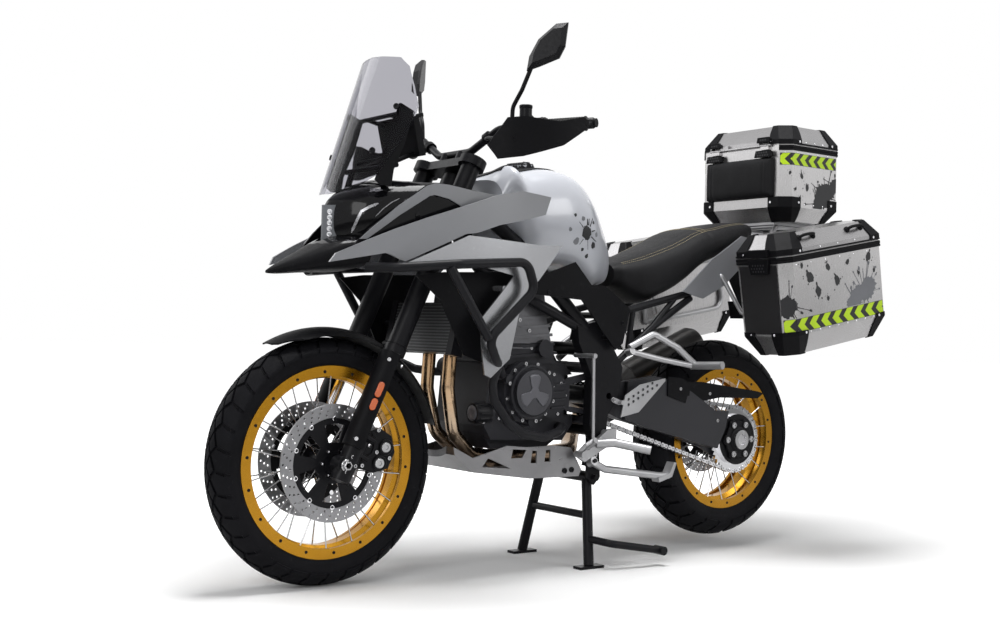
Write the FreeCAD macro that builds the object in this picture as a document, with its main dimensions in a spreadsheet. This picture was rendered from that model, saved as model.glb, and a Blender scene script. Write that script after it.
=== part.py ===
import FreeCAD, Part
import math
import os
import re

# Adventure motorcycle on its centre stand.
# Stations run rearward in X from the front axle, +Y is the rider's right and Z is height
# above the ground. Each finished sub-part is then shifted so that X = 0 is the middle of
# the motorcycle's length.

Vec = FreeCAD.Vector
Turn = FreeCAD.Rotation

SIZES = {
    # wheels
    "wheelbase": 1476,
    "front_tyre_radius": 329,
    "front_tyre_half_width": 56,
    "front_bead_radius": 241,
    "front_rim_half_width": 43,
    "rear_tyre_radius": 321,
    "rear_tyre_half_width": 75,
    "rear_bead_radius": 216,
    "rear_rim_half_width": 60,
    "rear_wheel_lift": 34,
    "rim_flange_height": 14,
    "rim_wall": 5,
    "rim_well_depth": 15,
    "rim_well_half_width": 14,
    "tyre_gap": 0.3,
    "spoke_radius": 2,
    "spoke_pairs": 9,
    "front_hub_radius": 26,
    "front_hub_flange": 42,
    "front_hub_half_width": 48,
    "rear_hub_radius": 42,
    "rear_hub_flange": 62,
    "rear_hub_half_width": 40,
    "hub_flange_inset": 12,
    "hub_flange_thickness": 6,
    "axle_clearance": 0.3,
    # brakes
    "front_disc_radius": 155,
    "front_disc_bore": 118,
    "disc_thickness": 4.5,
    "front_disc_offset": 62,
    "disc_boss_radius": 34,
    "carrier_thickness": 7,
    "disc_window_count": 6,
    "rear_disc_radius": 120,
    "rear_disc_bore": 90,
    "caliper_width": 44,
    "caliper_gap": 1.5,
    # axles
    "front_axle_radius": 10,
    "rear_axle_outer": 25,
    "rear_axle_bore": 18,
    "rear_axle_reach": 137,
    "rear_axle_right": 62,
    # steering
    "rake_degrees": 24.5,
    "leg_lead": 13,
    "clamp_offset": 30,
    "leg_spacing": 112,
    "upper_leg_radius": 27,
    "lower_leg_radius": 21.5,
    "upper_leg_start": 330,
    "fork_length": 925,
    "top_clamp_height": 895,
    "top_clamp_thickness": 26,
    "low_clamp_height": 690,
    "low_clamp_thickness": 40,
    "stem_radius": 16,
    "steering_room": 152,
    "head_tube_radius": 34,
    "head_tube_gap": 6,
    "bar_radius": 11,
    "bar_clamp_rise": 28,
    "bar_half_width": 420,
    "grip_radius": 17,
    "grip_length": 122,
    "guard_wall": 3.5,
    "fender_gap": 18,
    "fender_wall": 4,
    "fender_half_width": 62,
    # frame and engine
    "pivot_station": 868,
    "pivot_height": 503,
    "frame_half_width": 134,
    "frame_plate": 32,
    "spar_radius": 20,
    "crash_bar_radius": 12.5,
    "subframe_radius": 11,
    "subframe_half_width": 126,
    "crank_station": 588,
    "crank_height": 515,
    "generator_radius": 76,
    "engine_half_width": 140,
    "header_radius": 19,
    "header_spacing": 52,
    "collector_radius": 26,
    "muffler_radius": 58,
    "panel_wall": 5,
    "screen_radius": 190,
    "screen_wall": 4,
    "skid_half_width": 152,
    "skid_wall": 5,
    # drive
    "sprocket_teeth": 41,
    "front_sprocket_teeth": 15,
    "chain_pitch": 15.875,
    "chain_plane": 99,
    "front_sprocket_station": 765,
    "front_sprocket_height": 505,
    "sprocket_thickness": 7,
    "chain_side_gap": 0.8,
    "chain_plate_wall": 3.6,
    "chain_plate_height": 15,
    "chain_plate_waist": 11,
    # swingarm
    "arm_outer": 143,
    "arm_inner": 89,
    "arm_wall": 12,
    "arm_web": 8,
    "arm_hub_radius": 66,
    # stands
    "stand_pivot_station": 838,
    "stand_pivot_height": 262,
    "stand_pivot_half_width": 108,
    "stand_foot_station": 812,
    "stand_foot_half_width": 158,
    "stand_leg_radius": 15,
    "stand_pivot_radius": 12,
    "side_stand_radius": 11,
    "side_stand_across": 176,
    "foot_thickness": 8,
    # luggage
    "top_box_front": 1590,
    "top_box_length": 286,
    "top_box_half_width": 197,
    "top_box_corner": 32,
    "top_box_base": 1076,
    "top_box_wall_start": 1120,
    "top_box_seam": 1325,
    "top_box_lid_edge": 1342,
    "top_box_top": 1392,
    "top_box_taper": 30,
    "pannier_station": 1353,
    "pannier_height": 691,
    "pannier_tilt_degrees": 10.2,
    "pannier_inner": 252,
    "pannier_width": 187,
    "pannier_flare": 6,
    "pannier_length": 482,
    "pannier_corner": 33,
    "pannier_base_drop": 62,
    "pannier_seam": 242,
    "pannier_lid_edge": 262,
    "pannier_top": 309,
    "pannier_taper": 30,
    "box_wall": 3,
    "lid_gap": 1,
}

ORIGIN_SHIFT = "(front_tyre_radius - top_box_front - top_box_length) / 2"

doc = FreeCAD.newDocument("AdventureMotorcycle")
sheet = doc.addObject("Spreadsheet::Sheet", "Sizes")
for row, (name, amount) in enumerate(SIZES.items(), start=1):
    sheet.set("A%d" % row, name)
    sheet.set("B%d" % row, str(amount))
    sheet.setAlias("B%d" % row, name)
doc.recompute()

nodes = []


# Sizes and expressions

def mm(name):
    """The value of one cell."""
    return float(sheet.get(name))


def formula(text):
    """An expression on the sheet's cells, from the same names written bare."""
    return re.sub(r"[a-z]+_[a-z_]+|wheelbase", lambda found: "Sizes." + found.group(0), text)


def value(amount):
    """What a number, or an expression on the sheet's names, is worth now."""
    if not isinstance(amount, str):
        return float(amount)
    numbers = re.sub(r"[a-z]+_[a-z_]+|wheelbase", lambda found: str(mm(found.group(0))), amount)
    return float(sheet.evalExpression(numbers))


def size(item, setting, amount):
    """Words are bound to the sheet, and a plain number is set as it is."""
    if isinstance(amount, str):
        item.setExpression(setting, formula(amount))
    else:
        setattr(item, setting, amount)


# Sketched and turned bodies

def origin_plane(body, role):
    for feature in body.Origin.OriginFeatures:
        if feature.Role == role:
            return feature
    raise ValueError(role)


def arc_between(start, end, radius, side):
    """A circle of this radius through both points; side is 1 for a centre on the left."""
    middle = (start + end) * 0.5
    chord = end - start
    reach = math.sqrt(max(radius * radius - chord.Length * chord.Length / 4, 0))
    left = Vec(-chord.y, chord.x, 0)
    left.normalize()
    centre = middle + left * reach * side
    first, last = (start, end) if side > 0 else (end, start)
    angle_first = math.atan2(first.y - centre.y, first.x - centre.x)
    angle_last = math.atan2(last.y - centre.y, last.x - centre.x)
    if angle_last < angle_first:
        angle_last += 2 * math.pi
    circle = Part.Circle(centre, Vec(0, 0, 1), radius)
    return Part.ArcOfCircle(circle, angle_first, angle_last)


def outline_sketch(body, name, role, points, arcs=None):
    """A closed outline whose corners are bound to the sheet; arcs maps a corner to (radius, side)."""
    import Sketcher
    arcs = arcs or {}
    sketch = body.newObject("Sketcher::SketchObject", name)
    sketch.AttachmentSupport = [(origin_plane(body, role), "")]
    sketch.MapMode = "FlatFace"
    corners = [Vec(value(across), value(up), 0) for across, up in points]
    count = len(corners)
    ends = []
    for index, corner in enumerate(corners):
        following = corners[(index + 1) % count]
        if index in arcs:
            radius, side = arcs[index]
            sketch.addGeometry(arc_between(corner, following, value(radius), side), False)
            ends.append((1, 2) if side > 0 else (2, 1))
        else:
            sketch.addGeometry(Part.LineSegment(corner, following), False)
            ends.append((1, 2))
    for index in range(count):
        following = (index + 1) % count
        rule = Sketcher.Constraint("Coincident", index, ends[index][1], following, ends[following][0])
        sketch.addConstraint(rule)
    for index, (across, up) in enumerate(points):
        for kind, text, now in (("DistanceX", across, corners[index].x), ("DistanceY", up, corners[index].y)):
            rule = Sketcher.Constraint(kind, -1, 1, index, ends[index][0], now)
            place = sketch.addConstraint(rule)
            if isinstance(text, str):
                sketch.setExpression("Constraints[%d]" % place, formula(text))
    for index, (radius, side) in arcs.items():
        place = sketch.addConstraint(Sketcher.Constraint("Radius", index, value(radius)))
        sketch.setExpression("Constraints[%d]" % place, formula(radius))
    return sketch


def revolved_body(label, points, arcs=None):
    """A turned piece: an outline of (radius, place along the axle), turned about Y."""
    body = doc.addObject("PartDesign::Body", label)
    body.Label = label
    sketch = outline_sketch(body, "Section", "XY_Plane", points, arcs)
    turned = body.newObject("PartDesign::Revolution", "Turned")
    turned.Profile = sketch
    turned.ReferenceAxis = (sketch, ["V_Axis"])
    turned.Angle = 360
    return body


def windows_round(body, points, depth, amount):
    """Openings repeated round the axle, cut through a turned piece."""
    sketch = outline_sketch(body, "Window", "XZ_Plane", points)
    opening = body.newObject("PartDesign::Pocket", "Opening")
    opening.Profile = sketch
    opening.Midplane = True
    opening.setExpression("Length", formula(depth))
    ring = body.newObject("PartDesign::PolarPattern", "Ring")
    ring.Originals = [opening]
    ring.Axis = (sketch, ["N_Axis"])
    ring.Angle = 360
    ring.setExpression("Occurrences", formula(amount))
    body.Tip = ring
    return body


# Plain pieces

def rod(start, end, radius):
    line = Vec(*end) - Vec(*start)
    item = doc.addObject("Part::Cylinder", "Rod")
    size(item, "Radius", radius)
    item.Height = line.Length
    item.Placement = FreeCAD.Placement(Vec(*start), Turn(Vec(0, 0, 1), line))
    return item


def drum(station, height, y_from, y_to, radius):
    """A round piece whose axis runs across the bike."""
    item = doc.addObject("Part::Cylinder", "Drum")
    size(item, "Radius", radius)
    size(item, "Height", value(y_to) - value(y_from))
    if isinstance(y_from, str) or isinstance(y_to, str):
        item.setExpression("Height", formula("(%s) - (%s)" % (y_to, y_from)))
    item.Placement = FreeCAD.Placement(Vec(0, 0, 0), Turn(Vec(0, 0, 1), Vec(0, 1, 0)))
    for setting, amount in (("x", station), ("y", y_from), ("z", height)):
        item.setExpression("Placement.Base." + setting, formula(str(amount)))
    return item


def block(corner, sides):
    item = doc.addObject("Part::Box", "Block")
    for setting, amount in zip(("Length", "Width", "Height"), sides):
        size(item, setting, amount)
    item.Placement.Base = Vec(*[value(place) for place in corner])
    return item


def plate(points, y_from, y_to):
    """A plate cut to a side outline of (station, height)."""
    outline = doc.addObject("Part::Polygon", "Outline")
    outline.Nodes = [Vec(value(x), 0, value(z)) for x, z in points]
    outline.Close = True
    item = doc.addObject("Part::Extrusion", "Plate")
    item.Base = outline
    item.DirMode = "Custom"
    item.Dir = Vec(0, 1, 0)
    item.Solid = True
    item.setExpression("LengthFwd", formula("(%s) - (%s)" % (y_to, y_from)))
    item.setExpression("Placement.Base.y", formula(str(y_from)))
    return item


def slab(points, z_from, z_to):
    """A plate cut to a plan outline of (station, across)."""
    outline = doc.addObject("Part::Polygon", "Outline")
    outline.Nodes = [Vec(value(x), value(y), 0) for x, y in points]
    outline.Close = True
    item = doc.addObject("Part::Extrusion", "Slab")
    item.Base = outline
    item.DirMode = "Custom"
    item.Dir = Vec(0, 0, 1)
    item.Solid = True
    item.setExpression("LengthFwd", formula("(%s) - (%s)" % (z_to, z_from)))
    item.setExpression("Placement.Base.z", formula(str(z_from)))
    return item


def along_tube(points, bend):
    """Straight runs joined by tangent arcs."""
    edges = []
    start = points[0]
    for before, corner, after in zip(points, points[1:], points[2:]):
        inward = (before - corner).normalize()
        outward = (after - corner).normalize()
        half = inward.getAngle(outward) / 2
        room = 0.45 * min((before - corner).Length, (after - corner).Length)
        back = min(bend / math.tan(half), room)
        first = corner + inward * back
        last = corner + outward * back
        centre_way = (inward + outward).normalize()
        middle = corner + centre_way * (back / math.cos(half) - back * math.tan(half))
        edges.append(Part.LineSegment(start, first).toShape())
        edges.append(Part.Arc(first, middle, last).toShape())
        start = last
    edges.append(Part.LineSegment(start, points[-1]).toShape())
    return Part.Wire(edges)


def tube(points, radius, bend=40):
    """A bent bar: a round section swept along runs and arcs."""
    corners = [Vec(*point) for point in points]
    path = doc.addObject("Part::Feature", "Path")
    path.Shape = along_tube(corners, bend)
    section = doc.addObject("Part::Circle", "Section")
    size(section, "Radius", radius)
    section.Placement = FreeCAD.Placement(corners[0], Turn(Vec(0, 0, 1), corners[1] - corners[0]))
    item = doc.addObject("Part::Sweep", "Tube")
    item.Sections = [section]
    item.Spine = (path, ["Edge%d" % (index + 1) for index in range(len(path.Shape.Edges))])
    item.Solid = True
    item.Frenet = False
    return item


def egg(x, half_width, low, high, power=2.4, count=12):
    """A closed rounded section across the bike at one station."""
    ring = []
    for step in range(count):
        angle = 2 * math.pi * (step + 0.5) / count
        c, s = math.cos(angle), math.sin(angle)
        y = half_width * math.copysign(abs(c) ** (2 / power), c)
        z = (low + high) / 2 + (high - low) / 2 * math.copysign(abs(s) ** (2 / power), s)
        ring.append(Vec(x, y, z))
    curve = Part.BSplineCurve()
    curve.interpolate(Points=ring, PeriodicFlag=True)
    return Part.Wire(curve.toShape())


def loft(wires, ruled=False):
    sections = []
    for wire in wires:
        section = doc.addObject("Part::Feature", "Section")
        section.Shape = wire
        sections.append(section)
    item = doc.addObject("Part::Loft", "Loft")
    item.Sections = sections
    item.Solid = True
    item.Ruled = ruled
    return item


def polygon(points):
    corners = [Vec(*point) for point in points]
    return Part.makePolygon(corners + corners[:1])


# Joining and cutting

def fuse(items):
    if len(items) == 1:
        return items[0]
    item = doc.addObject("Part::MultiFuse", "Whole")
    item.Refine = False
    item.Shapes = items
    return item


def cut(base, tools):
    for tool in tools:
        item = doc.addObject("Part::Cut", "Cut")
        item.Refine = False
        item.Base = base
        item.Tool = tool
        base = item
    return base


def common(items):
    item = doc.addObject("Part::MultiCommon", "Common")
    item.Refine = False
    item.Shapes = items
    return item


def mirrored(item):
    other = doc.addObject("Part::Mirroring", "OtherSide")
    other.Source = item
    other.Base = Vec(0, 0, 0)
    other.Normal = Vec(0, 1, 0)
    return other


def both(item):
    """The piece and its mirror image on the other side."""
    return [item, mirrored(item)]


def node(label, items):
    """A finished sub-part, shifted from stations to the model's origin."""
    item = doc.addObject("Part::Compound", label)
    item.Label = label
    item.Links = items
    item.setExpression("Placement.Base.x", formula(ORIGIN_SHIFT))
    nodes.append(item)
    return item


def spline_band(plan, wall, height_from, height_to, lean=0.0, lean_height=950.0):
    """A wall that follows a curve in plan and leans by so much across for each unit of height."""
    drop = height_from - lean_height
    outer = Part.BSplineCurve()
    outer.interpolate([Vec(x, y + lean * drop, height_from) for x, y in plan])
    inner = Part.BSplineCurve()
    inner.interpolate([Vec(x, y + wall + lean * drop, height_from) for x, y in plan])
    ends = []
    for x, y in (plan[0], plan[-1]):
        low = Vec(x, y + lean * drop, height_from)
        ends.append(Part.LineSegment(low, low + Vec(0, wall, 0)).toShape())
    outline = doc.addObject("Part::Feature", "PlanOutline")
    outline.Shape = Part.Wire(Part.__sortEdges__([ends[0], outer.toShape(), ends[1], inner.toShape()]))
    item = doc.addObject("Part::Extrusion", "Band")
    item.Base = outline
    item.DirMode = "Custom"
    item.Dir = Vec(0, lean, 1)
    item.LengthFwd = (height_to - height_from) * math.sqrt(1 + lean * lean)
    item.Solid = True
    return item


def curved_panel(outline, plan, wall="panel_wall", lean=0.0, lean_height=950.0):
    """A panel on the left: a side outline, cut from a wall that is curved in plan."""
    heights = [z for x, z in outline]
    band = spline_band(plan, value(wall), min(heights) - 20, max(heights) + 20, lean, lean_height)
    return common([band, plate(outline, -620, 0)])


def fork_point(along, behind=0.0, across=0.0):
    """A point in the fork's own frame: along the legs from the axle, and behind the axle."""
    rake = math.radians(mm("rake_degrees"))
    x = along * math.sin(rake) + behind * math.cos(rake)
    z = along * math.cos(rake) - behind * math.sin(rake)
    return (x, across, z + mm("front_tyre_radius"))


def in_fork_frame(item):
    """Turns a piece that was drawn with the legs upright and the axle at the origin."""
    item.Placement = FreeCAD.Placement(Vec(0, 0, mm("front_tyre_radius")), Turn(Vec(0, 1, 0), mm("rake_degrees")))
    return item


# Wheels

def tyre(end):
    """The crown and both walls are arcs, and the beads seat on the rim."""
    r, w, bead = end + "_tyre_radius", end + "_tyre_half_width", end + "_bead_radius"
    rim = end + "_rim_half_width"
    seat = bead + " + tyre_gap"
    top = bead + " + rim_flange_height"
    shoulder = "(%s - (%s - 4) * 0.481)" % (r, w)
    points = [
        (seat, "-(%s - 7)" % rim), (top + " + 1", "-(%s - 4)" % rim), (top + " + 2", "-(%s + 1)" % rim),
        (shoulder, "-(%s - 4)" % w), (shoulder, w + " - 4"),
        (top + " + 2", rim + " + 1"), (top + " + 1", rim + " - 4"), (seat, rim + " - 7")]
    wall = "(%s - %s) * 0.8" % (r, bead)
    arcs = {2: (wall, 1), 3: ("(%s - 4) * 1.28" % w, 1), 4: (wall, 1)}
    return revolved_body(end + "_tyre_ring", points, arcs)


def rim_section(end):
    bead, half = end + "_bead_radius", end + "_rim_half_width"
    flange = bead + " + rim_flange_height"
    well = bead + " - rim_well_depth"
    under = well + " - rim_wall"
    lip = bead + " - rim_wall - 9"
    return [
        (flange, "-" + half), (flange, "-(%s - 4)" % half), (bead, "-(%s - 6)" % half),
        (bead, "-(rim_well_half_width + 8)"), (well, "-rim_well_half_width"),
        (well, "rim_well_half_width"), (bead, "rim_well_half_width + 8"),
        (bead, half + " - 6"), (flange, half + " - 4"), (flange, half),
        (lip, half), (lip, half + " - 10"), (bead + " - rim_wall", half + " - 12"),
        (bead + " - rim_wall", "rim_well_half_width + 8"), (under, "rim_well_half_width"),
        (under, "-rim_well_half_width"), (bead + " - rim_wall", "-(rim_well_half_width + 8)"),
        (bead + " - rim_wall", "-(%s - 12)" % half), (lip, "-(%s - 10)" % half), (lip, "-" + half)]


def hub_section(end, bore):
    r, flange, half = end + "_hub_radius", end + "_hub_flange", end + "_hub_half_width"
    outer = half + " - hub_flange_inset"
    inner = outer + " - hub_flange_thickness"
    return [
        (bore, "-" + half), (r, "-" + half), (r, "-(%s)" % outer), (flange, "-(%s)" % outer),
        (flange, "-(%s)" % inner), (r, "-(%s)" % inner), (r, inner), (flange, inner),
        (flange, outer), (r, outer), (r, half), (bore, half)]


def spoke(start, end, radius):
    """A straight six-sided spoke."""
    line = end - start
    corners = [Vec(radius * math.cos(math.radians(60 * i)), radius * math.sin(math.radians(60 * i)), 0)
               for i in range(6)]
    bar = Part.Face(Part.makePolygon(corners + corners[:1])).extrude(Vec(0, 0, line.Length))
    bar.Placement = FreeCAD.Placement(start, Turn(Vec(0, 0, 1), line))
    return bar


def lacing(end):
    """Crossed spokes from the hub's flanges to the rim's outer lips."""
    hub_y = mm(end + "_hub_half_width") - mm("hub_flange_inset") - mm("hub_flange_thickness") / 2
    hub_r = mm(end + "_hub_flange") - 5
    rim_r = mm(end + "_bead_radius") - mm("rim_wall") - 6
    rim_y = mm(end + "_rim_half_width") - 5
    pairs = int(mm("spoke_pairs"))
    bars = []
    for side in (-1, 1):
        for index in range(pairs):
            base = 360 * (index + (0.5 if side > 0 else 0)) / pairs
            for lean in (-1, 1):
                hub_angle = math.radians(base + lean * 8)
                rim_angle = math.radians(base + lean * 30)
                start = Vec(hub_r * math.cos(hub_angle), side * hub_y, hub_r * math.sin(hub_angle))
                finish = Vec(rim_r * math.cos(rim_angle), side * rim_y, rim_r * math.sin(rim_angle))
                bars.append(spoke(start, finish, mm("spoke_radius")))
    item = doc.addObject("Part::Feature", end + "_spokes")
    item.Shape = Part.makeCompound(bars)
    return item


def at_axle(item, end, across="0"):
    """Puts a piece that was made round the origin on its wheel's axle."""
    station = "0" if end == "front" else "wheelbase"
    height = end + "_tyre_radius" + ("" if end == "front" else " + rear_wheel_lift")
    for setting, text in (("x", station), ("y", across), ("z", height)):
        item.setExpression("Placement.Base." + setting, formula(text))
    return item


def slotted_carrier(label, section, inner, outer):
    """A turned carrier with windows between its arms."""
    body = revolved_body(label, section)
    steps = [("(%s)" % inner, -1), ("(%s)" % outer, -1), ("(%s)" % outer, 1), ("(%s)" % inner, 1)]
    points = []
    for radius, side in steps:
        points.append(("%s * cos(122 / disc_window_count)" % radius, "%d * %s * sin(122 / disc_window_count)" % (side, radius)))
    return windows_round(body, points, "80", "disc_window_count")


def make_wheels():
    for end, bore in (("front", "front_axle_radius + axle_clearance"), ("rear", "rear_axle_outer + axle_clearance")):
        node(end + "_tyre", [at_axle(tyre(end), end)])
        ring = revolved_body(end + "_rim_ring", rim_section(end))
        hub = revolved_body(end + "_hub", hub_section(end, bore))
        node(end + "_rim", [at_axle(fuse([ring, hub, lacing(end)]), end)])


def make_discs():
    half, arm = "disc_thickness / 2", "carrier_thickness / 2"
    bore = "front_axle_radius + axle_clearance"
    boss = "-(front_disc_offset - front_hub_half_width)"
    inner = "front_disc_bore + 4"
    section = [
        (bore, boss), ("disc_boss_radius", boss), ("disc_boss_radius", "-" + arm), (inner, "-" + arm),
        (inner, "-" + half), ("front_disc_radius", "-" + half), ("front_disc_radius", half),
        ("front_disc_bore", half), ("front_disc_bore", arm), (bore, arm)]
    disc = slotted_carrier("front_disc_right", section, "disc_boss_radius + 12", "front_disc_bore - 10")
    at_axle(disc, "front", "front_disc_offset")
    node("front_discs", both(disc))

    bore = "rear_axle_outer + axle_clearance"
    section = [
        (bore, "-" + arm), ("rear_disc_bore + 4", "-" + arm), ("rear_disc_bore + 4", "-" + half),
        ("rear_disc_radius", "-" + half), ("rear_disc_radius", half), ("rear_disc_bore", half),
        ("rear_disc_bore", arm), (bore, arm)]
    disc = slotted_carrier("rear_disc_ring", section, "disc_boss_radius + 12", "rear_disc_bore - 10")
    at_axle(disc, "rear", "-(rear_hub_half_width + carrier_thickness / 2)")
    node("rear_disc", [disc])


# Chain drive

def pitch_radius(teeth):
    return mm("chain_pitch") / 2 / math.sin(math.pi / teeth)


def toothed_ring(teeth, bore):
    """A sprocket's flat outline: pointed teeth with rounded seats for the rollers."""
    pitch = pitch_radius(teeth)
    points = []
    for index in range(teeth):
        base = 2 * math.pi * index / teeth
        step = 2 * math.pi / teeth
        for part, radius in ((0, pitch - 5), (0.34, pitch + 1.5), (0.5, pitch + 4.6), (0.66, pitch + 1.5)):
            angle = base + part * step
            points.append((radius * math.cos(angle), radius * math.sin(angle)))
    thick = "sprocket_thickness"
    blank = plate(points, "-%s / 2" % thick, "%s / 2" % thick)
    hole = drum("0", "0", "-%s" % thick, thick, bore)
    return cut(blank, [hole])


def chain_route():
    """The loop's two circles, its run and the way it leaves them."""
    rear = Vec(mm("wheelbase"), 0, mm("rear_tyre_radius") + mm("rear_wheel_lift"))
    front = Vec(mm("front_sprocket_station"), 0, mm("front_sprocket_height"))
    big, small = pitch_radius(int(mm("sprocket_teeth"))), pitch_radius(int(mm("front_sprocket_teeth")))
    line = rear - front
    heading = math.atan2(line.z, line.x)
    spread = math.asin((big - small) / line.Length)
    run = math.sqrt(line.Length ** 2 - (big - small) ** 2)
    return rear, front, big, small, heading, spread, run


def chain_lengths():
    rear, front, big, small, heading, spread, run = chain_route()
    return run, big * (math.pi + 2 * spread), small * (math.pi - 2 * spread)


def link_count():
    run, wrap_rear, wrap_front = chain_lengths()
    return 2 * round((2 * run + wrap_rear + wrap_front) / mm("chain_pitch") / 2)


def chain_outline(wide, waist):
    """Points round the loop, two for each link, set out from the pitch line."""
    rear, front, big, small, heading, spread, run = chain_route()
    run, wrap_rear, wrap_front = chain_lengths()
    total = 2 * run + wrap_rear + wrap_front
    up = heading + math.pi / 2 + spread
    down = heading - math.pi / 2 - spread
    count = 2 * link_count()
    points = []
    for index in range(count):
        distance = total * index / count
        if distance < run:
            angle, centre, radius, along = up, front, small, distance
        elif distance < run + wrap_rear:
            angle, centre, radius, along = up - (distance - run) / big, rear, big, 0
        elif distance < 2 * run + wrap_rear:
            angle, centre, radius, along = down, rear, big, distance - run - wrap_rear
        else:
            angle, centre, radius, along = down - (distance - 2 * run - wrap_rear) / small, front, small, 0
        normal = Vec(math.cos(angle), 0, math.sin(angle))
        forward = Vec(math.sin(angle), 0, -math.cos(angle))
        point = centre + normal * (radius + (wide if index % 2 == 0 else waist)) + forward * along
        points.append((point.x, point.z))
    return points


def make_drive():
    plane, thick = "chain_plane", "sprocket_thickness"
    inner = "(%s / 2 + chain_side_gap)" % thick
    outer = "(%s / 2 + chain_side_gap + chain_plate_wall)" % thick
    wide, waist = mm("chain_plate_height") / 2, mm("chain_plate_waist") / 2
    rows = []
    for low, high in (("-%s - %s" % (plane, outer), "-%s - %s" % (plane, inner)),
                      ("-%s + %s" % (plane, inner), "-%s + %s" % (plane, outer))):
        band = plate(chain_outline(wide, waist), low, high)
        rows.append(cut(band, [plate(chain_outline(-wide, -waist), low, high)]))
    pitch = pitch_radius(int(mm("front_sprocket_teeth")))
    wheel = drum("front_sprocket_station", "front_sprocket_height", "-%s - %s" % (plane, inner),
                 "-%s + %s" % (plane, inner), pitch + 3)
    boss = drum("front_sprocket_station", "front_sprocket_height", "-%s + %s" % (plane, inner),
                "-%s + 16" % plane, 20)
    node("drive_chain", [fuse(rows + [wheel, boss])])

    hole = "rear_axle_outer + axle_clearance"
    centre = [at_axle(toothed_ring(int(mm("sprocket_teeth")), 74), "rear", "-" + plane)]
    where = ("wheelbase", "rear_tyre_radius + rear_wheel_lift")
    face = "-%s - %s / 2" % (plane, thick)
    back = "-%s + %s / 2" % (plane, thick)
    centre.append(drum(*where, face + " - 12", face, 82))
    centre.append(drum(*where, face + " - 18", face + " - 12", 46))
    centre.append(drum(*where, face, back + " + 0.7", 44))
    bore = drum(*where, face + " - 30", back + " + 10", hole)
    node("rear_sprocket", [cut(fuse(centre), [bore])])


def make_rear_axle():
    where = ("wheelbase", "rear_tyre_radius + rear_wheel_lift")
    bar = drum(*where, "-rear_axle_reach", "rear_axle_right", "rear_axle_outer")
    collar = drum(*where, "rear_hub_half_width + 2", "rear_hub_half_width + 14", "rear_axle_outer + 12")
    nut = drum(*where, "-rear_axle_reach", "-rear_axle_reach + 12", "rear_axle_outer + 6")
    bore = drum(*where, "-rear_axle_reach - 5", "rear_axle_right + 5", "rear_axle_bore")
    node("rear_axle", [cut(fuse([bar, collar, nut]), [bore])])


# Steering

def make_fork():
    lead, spacing = mm("leg_lead"), mm("leg_spacing")
    start, top = mm("upper_leg_start"), mm("fork_length")
    upper = rod(fork_point(start, lead, -spacing), fork_point(top, lead, -spacing), "upper_leg_radius")
    seal = rod(fork_point(start - 6, lead, -spacing), fork_point(start + 14, lead, -spacing), "upper_leg_radius + 3")
    lower = rod(fork_point(10, lead, -spacing), fork_point(start + 20, lead, -spacing), "lower_leg_radius")
    foot = rod(fork_point(-42, lead - 4, -spacing), fork_point(78, lead, -spacing), "upper_leg_radius")
    ear = drum("0", "front_tyre_radius", "-leg_spacing - 17", "-leg_spacing + 25", 24)
    face = mm("front_disc_offset") + mm("caliper_width") / 2
    lugs = [rod(fork_point(along, lead + 4, -face), fork_point(along, lead + 4, -spacing), 13) for along in (48, 100)]
    arms = [rod(fork_point(along, lead + 4, -face - 8), fork_point(along - 4, lead + 62, -face - 8), 8)
            for along in (48, 100)]
    leg = fuse([upper, seal, lower, foot, ear] + lugs + arms)
    axle = drum("0", "front_tyre_radius", "-leg_spacing - 26", "leg_spacing + 26", "front_axle_radius")
    node("fork", [fuse(both(leg) + [axle])])


def make_fork_guards():
    """A shell round the front and outside of each inner fork tube, clamped on the fork foot."""
    lead, spacing = mm("leg_lead"), mm("leg_spacing")
    top = mm("upper_leg_start") - 8
    radius = mm("upper_leg_radius") + 9
    start, finish = fork_point(52, lead, -spacing), fork_point(top, lead, -spacing)
    shell = rod(start, finish, "upper_leg_radius + 9")
    room = rod(fork_point(78.3, lead, -spacing), fork_point(top + 5, lead, -spacing), "upper_leg_radius + 9 - guard_wall")
    seat = rod(fork_point(-60, lead - 4.25, -spacing), fork_point(78.4, lead, -spacing), "upper_leg_radius + 0.3")
    rear = slab([(lead + 4, -spacing - 80), (lead + 60, -spacing - 80), (lead + 60, 0), (lead - 10, 0),
                 (lead - 30, -spacing + 6), (lead + 4, -spacing + 6)], "0", "upper_leg_start + 40")
    behind = doc.addObject("Part::Compound", "Behind")
    behind.Links = [rear]
    in_fork_frame(behind)
    node("fork_guards", both(cut(shell, [room, seat, behind])))


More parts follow.
